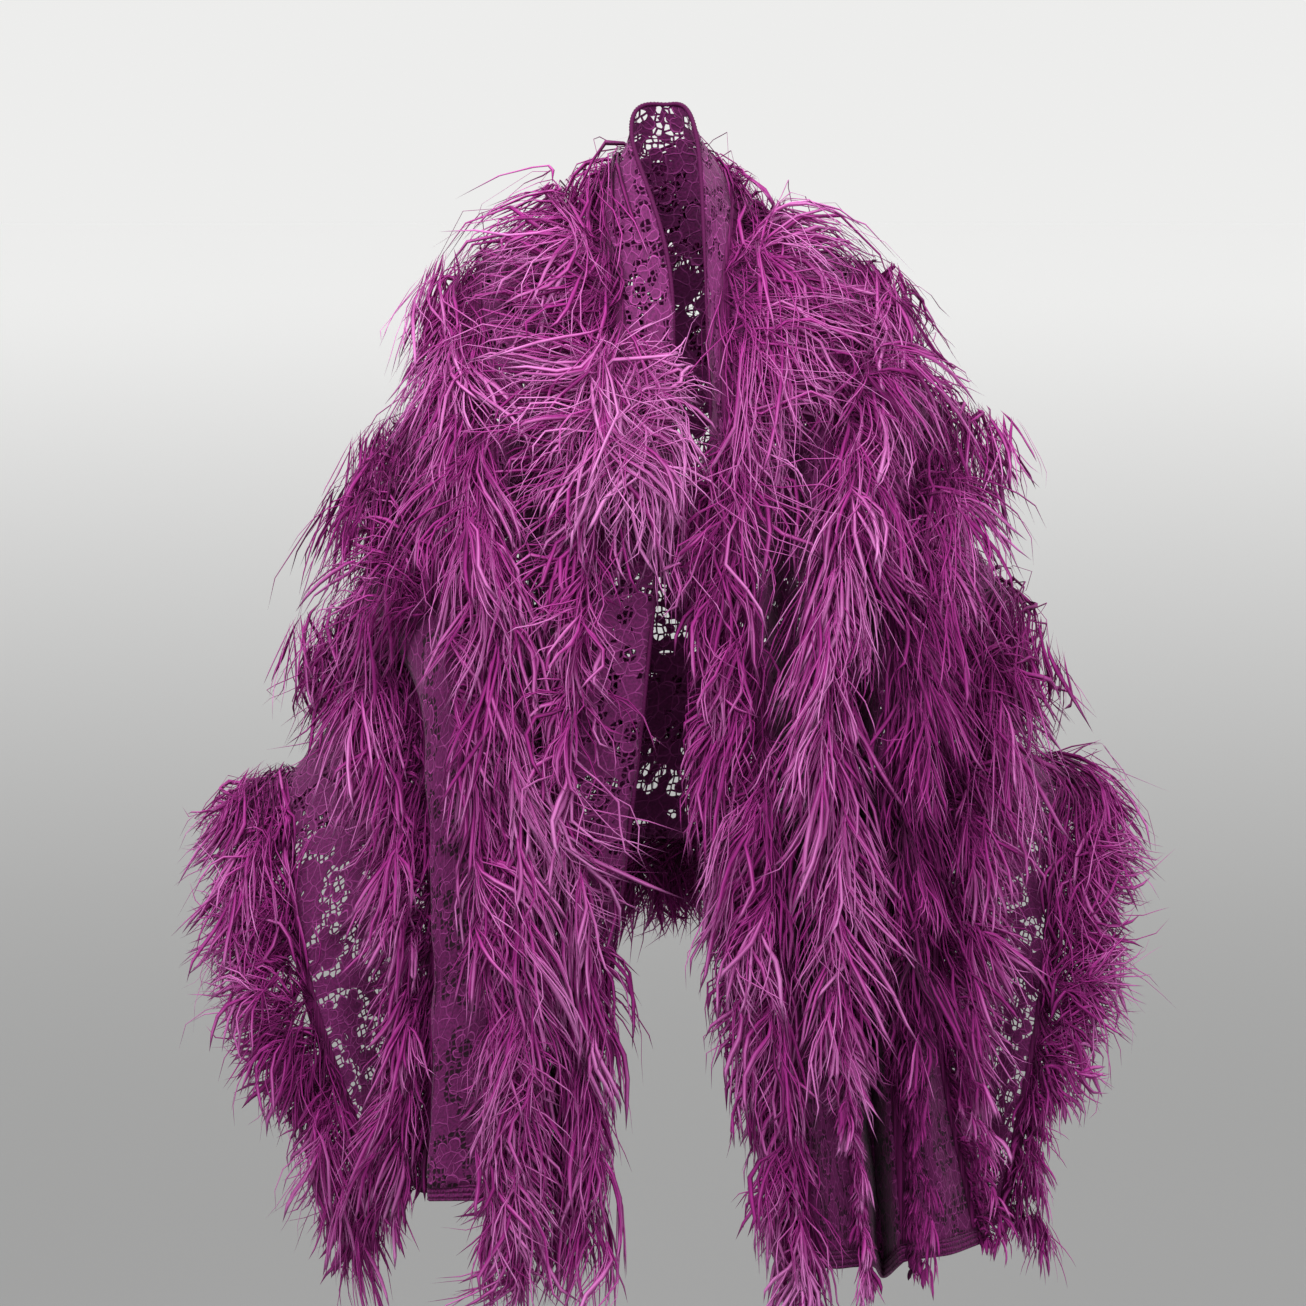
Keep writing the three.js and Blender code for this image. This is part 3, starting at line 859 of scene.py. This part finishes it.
def row_fall(along, row):
    """How a row's feathers fall: side, turns at root and tip, length, fan, opening and paleness."""
    is_left = along < 0.5
    reach = hem_reach(along)
    begun = {side: smoothstep(reach, *starts[row]) for side, starts in FRONT_REACH.items()}
    share = np.where(is_left, begun["left"], begun["right"])[:, None]

    def mixed(table):
        in_front = np.where(is_left[:, None], table["left"][row], table["right"][row])
        return (np.array(table["other"][row]) * (1 - share) + in_front * share).T

    side, at_root, at_tip = mixed(ROW_FALL)
    for name, (begins, ends, most) in END_STRAIGHT[row].items():
        here = is_left if name == "left" else ~is_left
        straight = np.where(here, most * smoothstep(reach, begins, ends), 0)
        at_root = at_root + (STRAIGHT_DOWN - at_root) * straight
        at_tip = at_tip + (STRAIGHT_DOWN - at_tip) * straight
    return side, at_root, at_tip, *(mixed(table)[0] for table in (ROW_LENGTH, ROW_FAN, ROW_OPEN, ROW_PALE))


def beside(along, row):
    """1 where a row goes over the shoulder and down the arm, fading to 0 at the back and in front."""
    places, run = HANG_PLACES[row + 1]
    stations = hem_reach(np.interp(np.arange(len(HANG_STATIONS[0])), places, run) / run[-1])
    at_side = stations[SIDE_STATIONS].mean()
    at_chest = stations[CHEST_STATIONS].mean()
    reach = hem_reach(along)
    leaving = smoothstep(reach, at_chest, at_chest + SIDE_FADE_OUT)
    return smoothstep(reach, SIDE_FADE_IN * at_side, at_side) * (1 - leaving)


def row_shafts(rng, row, settings):
    """The shafts of a row's feathers: where each starts, its way, its size and how pale it is."""
    run = HANG_PLACES[row + 1][1][-1]
    count = int(run / (settings.feather_pitch * ROW_PITCH[row]))
    vary = partial(draw, rng, FEATHERS_VARY, count)
    along = np.clip((np.arange(count) + vary("place")) / count, *ROW_ENDS)
    side, at_root, at_tip, usual, spread, opening, paler = row_fall(along, row)
    at_side = beside(along, row)
    end = smoothstep(along, *BARE_END_GROWS)
    height = vary("height")
    fan = FAN_SPREAD * spread * rng.normal(0, 1, count) * (1 - (1 - BARE_END_FAN) * end)
    length = usual * vary("length") * (1 - (1 - BARE_END_LENGTH[row]) * end)
    across = ROW_ACROSS[row] - ROOT_BACK * side + vary("across")
    curl = np.clip(rng.normal(0, 1, count), -ROW_CURL[row], ROW_CURL[row])
    return {
        "along": along,
        "across": across,
        "start": side * np.pi / 2,
        "fan": np.radians(fan),
        "at_root": at_root,
        "at_tip": at_tip,
        "curl": np.radians(curl * (CURL_LEAST + CURL_PER_OPENING * opening)),
        "wave": np.radians(vary("wave")),
        "phase": vary("phase"),
        "length": settings.feather_length * length,
        "lift": settings.feather_lift * height * (1 + (SIDE_LIFT[row] - 1) * at_side),
        "tip": np.clip(rng.normal(0, TIP_SPREAD, count), *TIP_RANGE),
        "open": np.radians(opening) * vary("open"),
        "pale": paler + PAINTED_SHADE_WITH_HEIGHT * (height - USUAL_HEIGHT) + rng.normal(0, PALE_SPREAD, count),
        "flyaway": FLYAWAY_SHARE * np.maximum(at_side, LAST_ROW_FLYAWAY * (row == ROW_COUNT - 1)),
    }


def plume_shafts(rng):
    """The shafts of the large plume, all round one place on the left of the first row."""
    shares = np.linspace(0.05, 0.45, 400)
    heights = line_points(shares)[1][:, 2]
    centre = np.interp(PLUME_HEIGHT, heights, shares)
    run = HANG_PLACES[1][1][-1]
    count = PLUME_FEATHERS
    vary = partial(draw, rng, PLUME_VARIES, count)
    all_round = np.linspace(-np.pi, np.pi, count, endpoint=False)
    return {
        "along": centre + rng.normal(0, PLUME_SPREAD, count) / run,
        "across": ROW_ACROSS[0] + rng.normal(0, PLUME_SPREAD_ACROSS, count),
        "start": all_round + rng.normal(0, PLUME_SPREAD_ROUND, count),
        "fan": np.zeros(count),
        "at_root": np.zeros(count),
        "at_tip": vary("at_tip"),
        "curl": np.radians(rng.normal(0, PLUME_CURL, count)),
        "wave": np.radians(vary("wave")),
        "phase": vary("phase"),
        "length": PLUME_LENGTH * vary("length"),
        "lift": PLUME_LIFT * vary("lift"),
        "tip": vary("tip"),
        "open": np.radians(PLUME_OPEN) * vary("open"),
        "pale": PLUME_PALER + rng.normal(0, PLUME_PALE_SPREAD, count),
        "flyaway": np.full(count, PLUME_FLYAWAY),
    }


def feather_barbs(rng, shafts, settings):
    """Barbs on both sides of every shaft: their feather, place on it, and each one's own way and size."""
    feather = np.repeat(np.arange(len(shafts["along"])), settings.barbs_per_feather)
    count = len(feather)
    vary = partial(draw, rng, BARBS_VARY, count)
    flyaway = rng.random(count) < shafts["flyaway"][feather]
    loose = flyaway | (rng.random(count) < LOOSE_SHARE)
    broad = ~loose & (rng.random(count) < BROAD_SHARE)
    place = vary("place") ** ROOT_CROWDING
    turn = wrapped(downhill_way(shafts["along"], shafts["across"]) - shafts["start"])
    own_side = np.where(rng.random(count) < 0.5 + FALLING_SIDE * shafts["at_root"][feather], -1, 1)
    side = own_side * np.sign(turn)[feather]
    length = shafts["length"][feather] * BARB_SHARE * (1 - SHORTER_TO_TIP * place) * vary("length")
    lift = shafts["lift"][feather] * vary("lift")
    curl_spread = np.where(flyaway, FLYAWAY_CURL, np.where(loose, LOOSE_CURL, BARB_CURL))
    width = np.where(broad, BROAD_WIDTH, np.where(flyaway, FLYAWAY_WIDTH, 1) * FINE_WIDTH)
    return {
        "feather": feather,
        "place": place,
        "shift": rng.normal(0, SHIFT_SHARE * settings.feather_pitch, count) * (1 - SHIFT_LESS * place),
        "open": side * shafts["open"][feather] * (OPEN_AT_ROOT - OPEN_LESS * place) * vary("open"),
        "curl": np.radians(rng.normal(0, curl_spread, count)),
        "wave": np.radians(vary("wave")),
        "phase": vary("phase"),
        "length": length * np.where(flyaway, FLYAWAY_LENGTH, 1),
        "lift": lift + np.where(flyaway, settings.feather_lift * vary("flyaway_lift"), 0),
        "pale": shafts["pale"][feather] + rng.normal(0, BARB_PALE_SPREAD, count) - BROAD_PAINTED_SHADE * broad,
        "width": settings.barb_width * vary("width") * width,
    }


def wrapped(angle):
    return (angle + np.pi) % FULL_TURN - np.pi


def downhill_way(along, across):
    """The angle at which the hang goes steepest down, from the way along to the way across."""
    along_way = HANG_SURFACE.read("along_way", along, across)
    across_way = HANG_SURFACE.read("across_way", along, across)
    return np.arctan2(-across_way[:, 2], -along_way[:, 2])


def run_on(along, across, angle, length):
    """Paths over the hang from given places, at an angle for each of their steps."""
    along_speed = HANG_SURFACE.read("along_speed", along, across)
    across_speed = np.maximum(HANG_SURFACE.read("across_speed", along, across), LEAST_SPEED)
    step = length[:, None] / BARB_STEPS
    none = np.zeros((len(along), 1))
    go_along = np.concatenate([none, np.cumsum(np.cos(angle) * step, axis=1)], axis=1)
    go_across = np.concatenate([none, np.cumsum(np.sin(angle) * step, axis=1)], axis=1)
    return along[:, None] + go_along / along_speed, across[:, None] + go_across / across_speed


def shaft_paths(shafts):
    """The paths of shafts over the hang: places along and across, how far they stand off, and angles."""
    shaft = as_columns(shafts)
    turn = wrapped(downhill_way(shafts["along"], shafts["across"]) - shafts["start"])[:, None]
    turned = shaft["at_root"] + (shaft["at_tip"] - shaft["at_root"]) * STEP_SHARES
    wave = shaft["wave"] * np.sin(SHAFT_WAVES * STEP_SHARES + shaft["phase"])
    fan = shaft["fan"] * (1 - 0.5 * STEP_SHARES)
    angle = shaft["start"] + turn * turned + fan + shaft["curl"] * STEP_SHARES**2 + wave
    along, across = run_on(shafts["along"], shafts["across"], angle, SHAFT_SHARE * shafts["length"])
    arch = (1 - (1 - POINT_SHARES) ** 2) * (1 - 0.3 * POINT_SHARES**3)
    rise = LEAST_RISE + shaft["lift"] * (arch + shaft["tip"] * POINT_SHARES**3)
    return along, across, np.maximum(rise, LEAST_RISE), angle


def barb_paths(rng, shafts, barbs, settings):
    """The paths of barbs, the way out at each point, and how far down its feather it is, from 0 to 1."""
    feather = barbs["feather"]
    place = barbs["place"]
    barb = as_columns(barbs)
    shaft = as_columns({name: values[feather] for name, values in shafts.items()})
    *paths, angles = shaft_paths(shafts)
    step = np.minimum((place * BARB_STEPS).astype(int), BARB_STEPS - 1)
    rest = place * BARB_STEPS - step
    between = (path[feather, step] * (1 - rest) + path[feather, step + 1] * rest for path in paths)
    along, across, rise = between
    along = along + barbs["shift"] / HANG_SURFACE.read("along_speed", along, across)[:, 0]
    way = angles[feather, step]
    pull = wrapped(downhill_way(along, across) - way)[:, None]
    wave = barb["wave"] * np.sin(BARB_WAVES * STEP_SHARES + barb["phase"])
    wave = wave + shaft["wave"] * np.sin(SHARED_WAVES * STEP_SHARES + shaft["phase"])
    curl = barb["curl"] + shaft["curl"]
    falling = np.clip(shaft["at_tip"], 0, 1)
    opened = way[:, None] + barb["open"]
    droop = DROOP * falling * wrapped(pull - barb["open"])
    angle = opened + droop * STEP_SHARES**1.5 + curl * STEP_SHARES**2 + wave
    path_along, path_across = run_on(along, across, angle, barbs["length"])

    outward = HANG_SURFACE.read("outward", path_along, path_across)
    rise = rise[:, None] + barb["lift"] * POINT_SHARES * (1.5 - 0.5 * POINT_SHARES)
    points = HANG_SURFACE.read("points", path_along, path_across)
    points = points + outward * np.maximum(rise, LEAST_RISE)[..., None]
    down = 0.4 * barb["place"] + 0.6 * POINT_SHARES
    weight = (0.3 + 0.7 * falling) * shaft["lift"] / settings.feather_lift
    points[..., 2] -= settings.feather_sag * weight * down**2
    root = HANG_SURFACE.read("points", shafts["along"], shafts["across"])[feather]
    return kept_in_room(rng, points, root), outward, down


def kept_in_room(rng, points, root):
    """Draws the barbs that would leave their room towards the root of their feather, a little unevenly."""
    low, high = np.array(FEATHER_ROOM, float)
    evenness = rng.uniform(*ROOM_EVENNESS, (len(points), 1))
    reach_low = np.maximum(root - points.min(axis=1), 1)
    reach_high = np.maximum(points.max(axis=1) - root, 1)
    shares = np.minimum((root - low) / reach_low, (high - root) / reach_high)
    shares = np.where(shares < 1, shares * evenness, 1)
    short = np.clip(shares.min(axis=1), LEAST_SHORT, 1)
    return root[:, None] + (points - root[:, None]) * short[:, None, None]


def with_ends(root, rings, tip):
    """Values at the corners of every ring of a barb, between those at its root and its tip."""
    return np.concatenate([root, rings, tip], axis=1)


def barb_mesh(rng, shafts, settings):
    """Closed three-sided barbs: points, faces, how pale each point is and its millimetres on its barb."""
    barbs = feather_barbs(rng, shafts, settings)
    points, outward, down = barb_paths(rng, shafts, barbs, settings)
    count = len(points)
    tangent = unit(np.gradient(points, axis=1))
    side = unit(np.cross(tangent, outward))
    up = np.cross(side, tangent)
    turn = rng.normal(0, BARB_TWIST, (count, 1)) + rng.normal(0, BARB_TWIST_ON, (count, 1)) * POINT_SHARES
    twist = np.radians(turn)[..., None]
    across_way = (side * np.cos(twist) + up * np.sin(twist))[:, 1:-1]
    up_way = (up * np.cos(twist) - side * np.sin(twist))[:, 1:-1]
    half = (barbs["width"][:, None] * BARB_WIDTHS / 2)[..., None]
    middle = points[:, 1:-1]
    corners = [middle - across_way * half, middle + across_way * half, middle + up_way * half * BARB_HEIGHT]
    rings = BARB_STEPS - 1
    ring_points = np.stack(corners, axis=2).reshape(count, rings * BARB_CORNERS, 3)
    barb_points = with_ends(points[:, :1], ring_points, points[:, -1:])
    per_barb = rings * BARB_CORNERS + 2

    quads = tube_faces(rings, BARB_CORNERS) + 1
    last = per_barb - 1 - BARB_CORNERS
    corner = np.arange(BARB_CORNERS)
    beside_it = (corner + 1) % BARB_CORNERS
    tip_ends = np.stack([last + corner, last + beside_it, np.full(BARB_CORNERS, per_barb - 1)], axis=1)
    root_ends = np.stack([1 + beside_it, 1 + corner, np.zeros(BARB_CORNERS, int)], axis=1)
    starts = (np.arange(count) * per_barb)[:, None, None]
    quad_faces = (quads[None] + starts).reshape(-1, 4).tolist()
    end_faces = (np.concatenate([tip_ends, root_ends])[None] + starts).reshape(-1, 3).tolist()

    none = np.zeros((1, 1))
    # Each barb is paler on its ridge and deeper at its sides: a painted highlight and painted shade along it
    ridge_light = with_ends(none, np.tile([RIDGE_PAINTED_LIGHT], rings), none)
    edge = with_ends(none, np.tile([RIDGE_SIDES], rings), none)
    share = with_ends(none, np.repeat(POINT_SHARES[None, 1:-1], BARB_CORNERS, axis=1), none + 1)
    point_down = with_ends(down[:, :1], np.repeat(down[:, 1:-1], BARB_CORNERS, axis=1), down[:, -1:])
    # Darker towards the root of the barb and of its feather: painted shade deep in the plumage
    shade = SHADE_AT_ROOT + SHADE_TO_TIP * point_down**SHADE_BEND + ridge_light + barbs["pale"][:, None]
    grain = np.zeros((count, per_barb, 3))
    grain[..., 0] = edge * barbs["width"][:, None] + GRAIN_APART * np.arange(count)[:, None]
    grain[..., 1] = share * barbs["length"][:, None]
    shade = np.clip(shade, 0, 1).ravel()
    return barb_points.reshape(-1, 3), quad_faces + end_faces, shade, grain.reshape(-1, 3)


def tape_mesh(row):
    """The header tape of a row, as a closed band on the lace."""
    along = np.linspace(*TAPE_ENDS, TAPE_STEPS)
    across = ROW_ACROSS[row] + np.linspace(-0.5, 0.5, TAPE_STEPS_ACROSS) * HEADER_WIDTH
    points, normals = cloth_points(along, across)
    lower = points + normals * TAPE_OFFSET
    upper = points + normals * (TAPE_OFFSET + TAPE_THICKNESS)
    rings = np.concatenate([lower, upper[:, ::-1]], axis=1)
    return rings.reshape(-1, 3), closed_tube_faces(*rings.shape[:2])


# Settings that a user would change


def size_setting(name, description, default, least=0.0):
    return FloatProperty(name=name, description=description + ", in millimetres", default=default, min=least)


def colour_setting(name, description, hex_colour):
    return FloatVectorProperty(
        name=name, description=description, subtype="COLOR", default=linear(hex_colour), min=0, max=1
    )


class ShawlLaceSettings(bpy.types.PropertyGroup):
    """Sizes and colours of the lace, its hems and its edge."""

    thickness: FloatProperty(
        name="Thickness", description="Thickness of the lace", default=1.2 * MM, min=0.0003, unit="LENGTH"
    )
    hem_thickness: FloatProperty(
        name="Hem Thickness", description="Thickness of a hem", default=2.4 * MM, min=0.0005, unit="LENGTH"
    )
    ripple: size_setting("Ripple", "Depth of the small ripples between rows", 2.4)
    fill_colour: colour_setting("Filling", "Colour of the motifs", "#6e1b5c")
    # Painted shade in the low stitches of the lace and between the hem's cords; on the neck edge it mottles
    # the thread at random
    shade_colour: colour_setting("Shade", "Colour between the stitches", "#521646")
    cord_colour: colour_setting("Cord", "Colour of the raised cords", "#9c3c87")
    # The cloth seen through the holes where the lace lies doubled, painted near black as the shade in the
    # fold
    backing_shade_colour: colour_setting("Holes", "Colour in holes over cloth", "#25051c")
    edge_colour: colour_setting("Edge", "Colour of the overlocked edge", "#4a0739")


class ShawlFeatherSettings(bpy.types.PropertyGroup):
    """Sizes, numbers and colours of the feather rows."""

    feather_pitch: size_setting("Pitch", "Space between feathers along a row", 11.0, 6.0)
    barbs_per_feather: IntProperty(name="Barbs", description="Barbs on a feather", default=34, min=8, max=80)
    feather_length: size_setting("Length", "Usual length of a feather", 122.0, 20.0)
    barb_width: size_setting("Width", "Usual width of a barb", 2.0, 0.3)
    feather_lift: size_setting("Lift", "How far the feathers stand off the lace", 44.0, 1.0)
    feather_sag: size_setting("Sag", "How far the tips sag", 26.0)
    # Mostly painted shade, for the depth of the plumage at the roots
    root_shade_colour: colour_setting("Roots", "Colour at the roots", "#2d0423")
    barb_colour: colour_setting("Barbs", "Colour of the barbs", "#99297f")
    tip_colour: colour_setting("Tips", "Colour at the tips", "#d080c0")


class ShawlStageSettings(bpy.types.PropertyGroup):
    """The floor, the light and the camera."""

    floor_height: FloatProperty(name="Floor", description="Height of the floor", default=-1.4, unit="LENGTH")
    camera_distance: FloatProperty(
        name="Distance", description="From the camera to the neck axis", default=4.6, min=0.5, unit="LENGTH"
    )
    camera_tilt: FloatProperty(
        name="Tilt", description="How far the camera looks down", default=math.radians(5.3), subtype="ANGLE"
    )
    frame_width: FloatProperty(
        name="Frame", description="Width of the view at the neck axis", default=1.175, min=0.1, unit="LENGTH"
    )
    # Below, the floor's colour is painted shade, which fades out far off
    floor_near_colour: colour_setting("Floor Near", "Colour of the floor below", "#878787")
    floor_far_colour: colour_setting("Floor Far", "Colour of the floor far off", "#ffffff")


# Operators


class SHAWL_OT_build_lace(bpy.types.Operator):
    """Build the draped lace"""

    bl_idname = "shawl.build_lace"
    bl_label = "Lace"

    def execute(self, context):
        settings = context.scene.shawl_lace
        free = HEM_FREE * HEM_DEPTH / LACE_LENGTH
        along = np.linspace(free, 1 - free, LACE_STEPS_ALONG)
        across = np.linspace(EDGE_ROLL_WIDTH - EDGE_OVERLAP, LACE_WIDTH, LACE_STEPS_ACROSS)
        points = lace_points(along, across, settings.ripple)
        material = corded_lace_material(settings)
        piece = cloth_piece("lace", points, along, across, material, settings.thickness)
        dress(piece, "plum_lace", "lace_panel")
        return {"FINISHED"}


class SHAWL_OT_build_hems(bpy.types.Operator):
    """Build the corded hems of the two short ends"""

    bl_idname = "shawl.build_hems"
    bl_label = "End Hems"

    def execute(self, context):
        settings = context.scene.shawl_lace
        material = dense_hem_material(settings)
        depth = np.linspace(0, HEM_DEPTH, HEM_STEPS)
        ridges = HEM_RIDGE_DEPTH * np.cos(FULL_TURN * depth / HEM_RIDGE_PITCH)
        across = np.linspace(EDGE_ROLL_WIDTH - EDGE_OVERLAP, LACE_WIDTH, HEM_STEPS_ACROSS)
        for name, node, along in (
            ("hem_left", "end_hem_left", depth / LACE_LENGTH),
            ("hem_right", "end_hem_right", 1 - depth[::-1] / LACE_LENGTH),
        ):
            points, normals = cloth_points(along, across)
            points = points + normals * ridges[:, None, None]
            piece = cloth_piece(name, points, along, across, material, settings.hem_thickness)
            dress(piece, "plum_hem", node)
        return {"FINISHED"}


class SHAWL_OT_build_neck_edge(bpy.types.Operator):
    """Build the rolled and overlocked edge round the neck and down the opening"""

    bl_idname = "shawl.build_neck_edge"
    bl_label = "Neck Edge"

    def execute(self, context):
        settings = context.scene.shawl_lace
        along = np.linspace(0, 1, EDGE_STEPS)
        points, normals = cloth_points(along, np.array([0.0, EDGE_ROLL_WIDTH / 2, EDGE_ROLL_WIDTH]))
        centre = points[:, 1]
        across_way = unit(points[:, 2] - points[:, 0])
        turns = np.linspace(0, FULL_TURN, EDGE_CORNERS, endpoint=False)
        run = along * HANG_PLACES[0][1][-1]
        stitch = 1 + STITCH_SHARE * np.cos(FULL_TURN * run[:, None] / STITCH_PITCH + turns[None, :])
        radius = (EDGE_ROLL_WIDTH / 2 * stitch)[..., None]
        turn = turns[None, :, None]
        ring = across_way[:, None] * np.cos(turn) + normals[:, 1][:, None] * np.sin(turn)
        rings = centre[:, None] + ring * radius
        faces = closed_tube_faces(EDGE_STEPS, EDGE_CORNERS)
        piece = mesh_piece("neck_roll", rings, faces, overlocked_edge_material(settings))
        dress(piece, "plum_edge", "neck_edge")
        return {"FINISHED"}


class SHAWL_OT_build_feathers(bpy.types.Operator):
    """Build the five rows of feathers on their header tapes"""

    bl_idname = "shawl.build_feathers"
    bl_label = "Feather Rows"

    def execute(self, context):
        settings = context.scene.shawl_feathers
        material = feather_material(settings)
        for row in range(ROW_COUNT):
            rng = np.random.default_rng(FIRST_SEED + row)
            shafts = row_shafts(rng, row, settings)
            if row == 0:
                plume = plume_shafts(rng)
                shafts = {name: np.concatenate([shafts[name], plume[name]]) for name in shafts}
            barbs, faces, shade, grain = barb_mesh(rng, shafts, settings)
            tape, tape_faces = tape_mesh(row)
            faces = faces + [[corner + len(barbs) for corner in face] for face in tape_faces]
            points = np.concatenate([barbs, tape])
            piece = mesh_piece(f"feathers_{row + 1}", points, faces, material)
            shade = np.concatenate([shade, np.full(len(tape), TAPE_SHADE)])
            shade_layer = piece.data.attributes.new("FeatherShade", "FLOAT", "POINT")
            shade_layer.data.foreach_set("value", shade.astype(np.float32))
            grain = np.concatenate([grain, tape])
            grain_layer = piece.data.attributes.new("FeatherGrain", "FLOAT_VECTOR", "POINT")
            grain_layer.data.foreach_set("vector", grain.astype(np.float32).ravel())
            dress(piece, "plum_feather", f"feather_row_{row + 1}")
        return {"FINISHED"}


# The floor's radius in metres, where its painted shade turns pale as powers of ten metres, and the pale
# world round it
FLOOR_RADIUS = 160
FLOOR_CORNERS = 96
FLOOR_PALES = (0.2, 1.8)
WORLD_COLOUR = "#f6f6f5"
WORLD_STRENGTH = 0.92

# The soft square lights: name, place, aim, size in metres and power in watts
LIGHTS = (
    ("key_light", (-0.6, -1.3, 1.6), (0, 0, -0.2), 1.4, 66),
    ("fill_light", (1.6, -2.2, 0.6), (0, 0, -0.4), 1.6, 20),
    ("back_light", (0.3, 1.6, 1.6), (0, 0, -0.3), 1.4, 34),
)

# What the camera looks at, in metres, and its sensor in millimetres
CAMERA_AIM = (-0.011, 0, -0.421)
SENSOR_WIDTH = 36


def soft_light(name, place, aim, size, power):
    light = bpy.data.lights.new(name, "AREA")
    light.shape = "SQUARE"
    light.size = size
    light.energy = power
    lamp = new_object(name, light)
    lamp.visible_camera = False
    lamp.location = place
    lamp.rotation_euler = (Vector(aim) - Vector(place)).to_track_quat("-Z", "Y").to_euler()


def shaded_floor_material(settings):
    """A matt floor, grey below and pale far off: painted shade below, fading out far off."""
    material, add, shader = new_material("floor_painted_shade")
    place = add("TexCoord", output="Object")
    away = add("VectorMath LENGTH", [place], "Value")
    far = add("Math LOGARITHM", [away, 10.0])
    paler = add("MapRange", {"Value": far, "From Min": FLOOR_PALES[0], "From Max": FLOOR_PALES[1]}, **SOFT)
    shades = {"Factor": paler, "A": settings.floor_near_colour, "B": settings.floor_far_colour}
    colour = add("Mix", shades, **COLOURS)
    set_inputs(shader, {"Base Color": colour, "Roughness": 0.9})
    return material


class SHAWL_OT_set_stage(bpy.types.Operator):
    """Set the floor, the light and the camera"""

    bl_idname = "shawl.set_stage"
    bl_label = "Stage"

    def execute(self, context):
        settings = context.scene.shawl_stage
        bpy.ops.object.select_all(action="DESELECT")
        place = (0, 0, settings.floor_height)
        bpy.ops.mesh.primitive_circle_add(
            vertices=FLOOR_CORNERS, radius=FLOOR_RADIUS, fill_type="NGON", location=place
        )
        floor = context.object
        floor.name = "floor"
        floor.data.materials.append(shaded_floor_material(settings))

        world = bpy.data.worlds.new("pale_studio")
        context.scene.world = world
        world.use_nodes = True
        background = world.node_tree.nodes["Background"]
        set_inputs(background, {"Color": (*linear(WORLD_COLOUR), 1), "Strength": WORLD_STRENGTH})
        for light in LIGHTS:
            soft_light(*light)

        camera = bpy.data.cameras.new("camera")
        camera.sensor_width = SENSOR_WIDTH
        camera.lens = camera.sensor_width * settings.camera_distance / settings.frame_width
        camera_object = new_object("camera", camera)
        tilt = settings.camera_tilt
        back = Vector((0, -math.cos(tilt), math.sin(tilt)))
        camera_object.location = Vector(CAMERA_AIM) + back * settings.camera_distance
        camera_object.rotation_euler = (-back).to_track_quat("-Z", "Y").to_euler()
        context.scene.camera = camera_object
        context.scene.view_settings.view_transform = "Standard"
        return {"FINISHED"}


class SHAWL_PT_pieces(bpy.types.Panel):
    """Lists the pieces of the shawl and their settings"""

    bl_label = "Feather Shawl"
    bl_idname = "SHAWL_PT_pieces"
    bl_space_type = "VIEW_3D"
    bl_region_type = "UI"
    bl_category = "Shawl"

    def draw(self, context):
        layout = self.layout
        for operator in OPERATORS:
            layout.operator(operator.bl_idname)
        for group in SETTINGS:
            settings = getattr(context.scene, group)
            for name in settings.bl_rna.properties.keys():
                if name not in {"rna_type", "name"}:
                    layout.prop(settings, name)


SETTINGS = {
    "shawl_lace": ShawlLaceSettings,
    "shawl_feathers": ShawlFeatherSettings,
    "shawl_stage": ShawlStageSettings,
}
OPERATORS = (
    SHAWL_OT_build_lace,
    SHAWL_OT_build_hems,
    SHAWL_OT_build_neck_edge,
    SHAWL_OT_build_feathers,
    SHAWL_OT_set_stage,
)
CLASSES = (*SETTINGS.values(), *OPERATORS, SHAWL_PT_pieces)


def register():
    for cls in CLASSES:
        bpy.utils.register_class(cls)
    for name, group in SETTINGS.items():
        setattr(bpy.types.Scene, name, PointerProperty(type=group))


def unregister():
    for name in SETTINGS:
        delattr(bpy.types.Scene, name)
    for cls in reversed(CLASSES):
        bpy.utils.unregister_class(cls)


def main():
    register()
    bpy.ops.object.select_all(action="DESELECT")
    bpy.ops.shawl.build_lace()
    bpy.ops.shawl.build_hems()
    bpy.ops.shawl.build_neck_edge()
    bpy.ops.shawl.build_feathers()
    bpy.ops.shawl.set_stage()


if __name__ == "__main__":
    main()
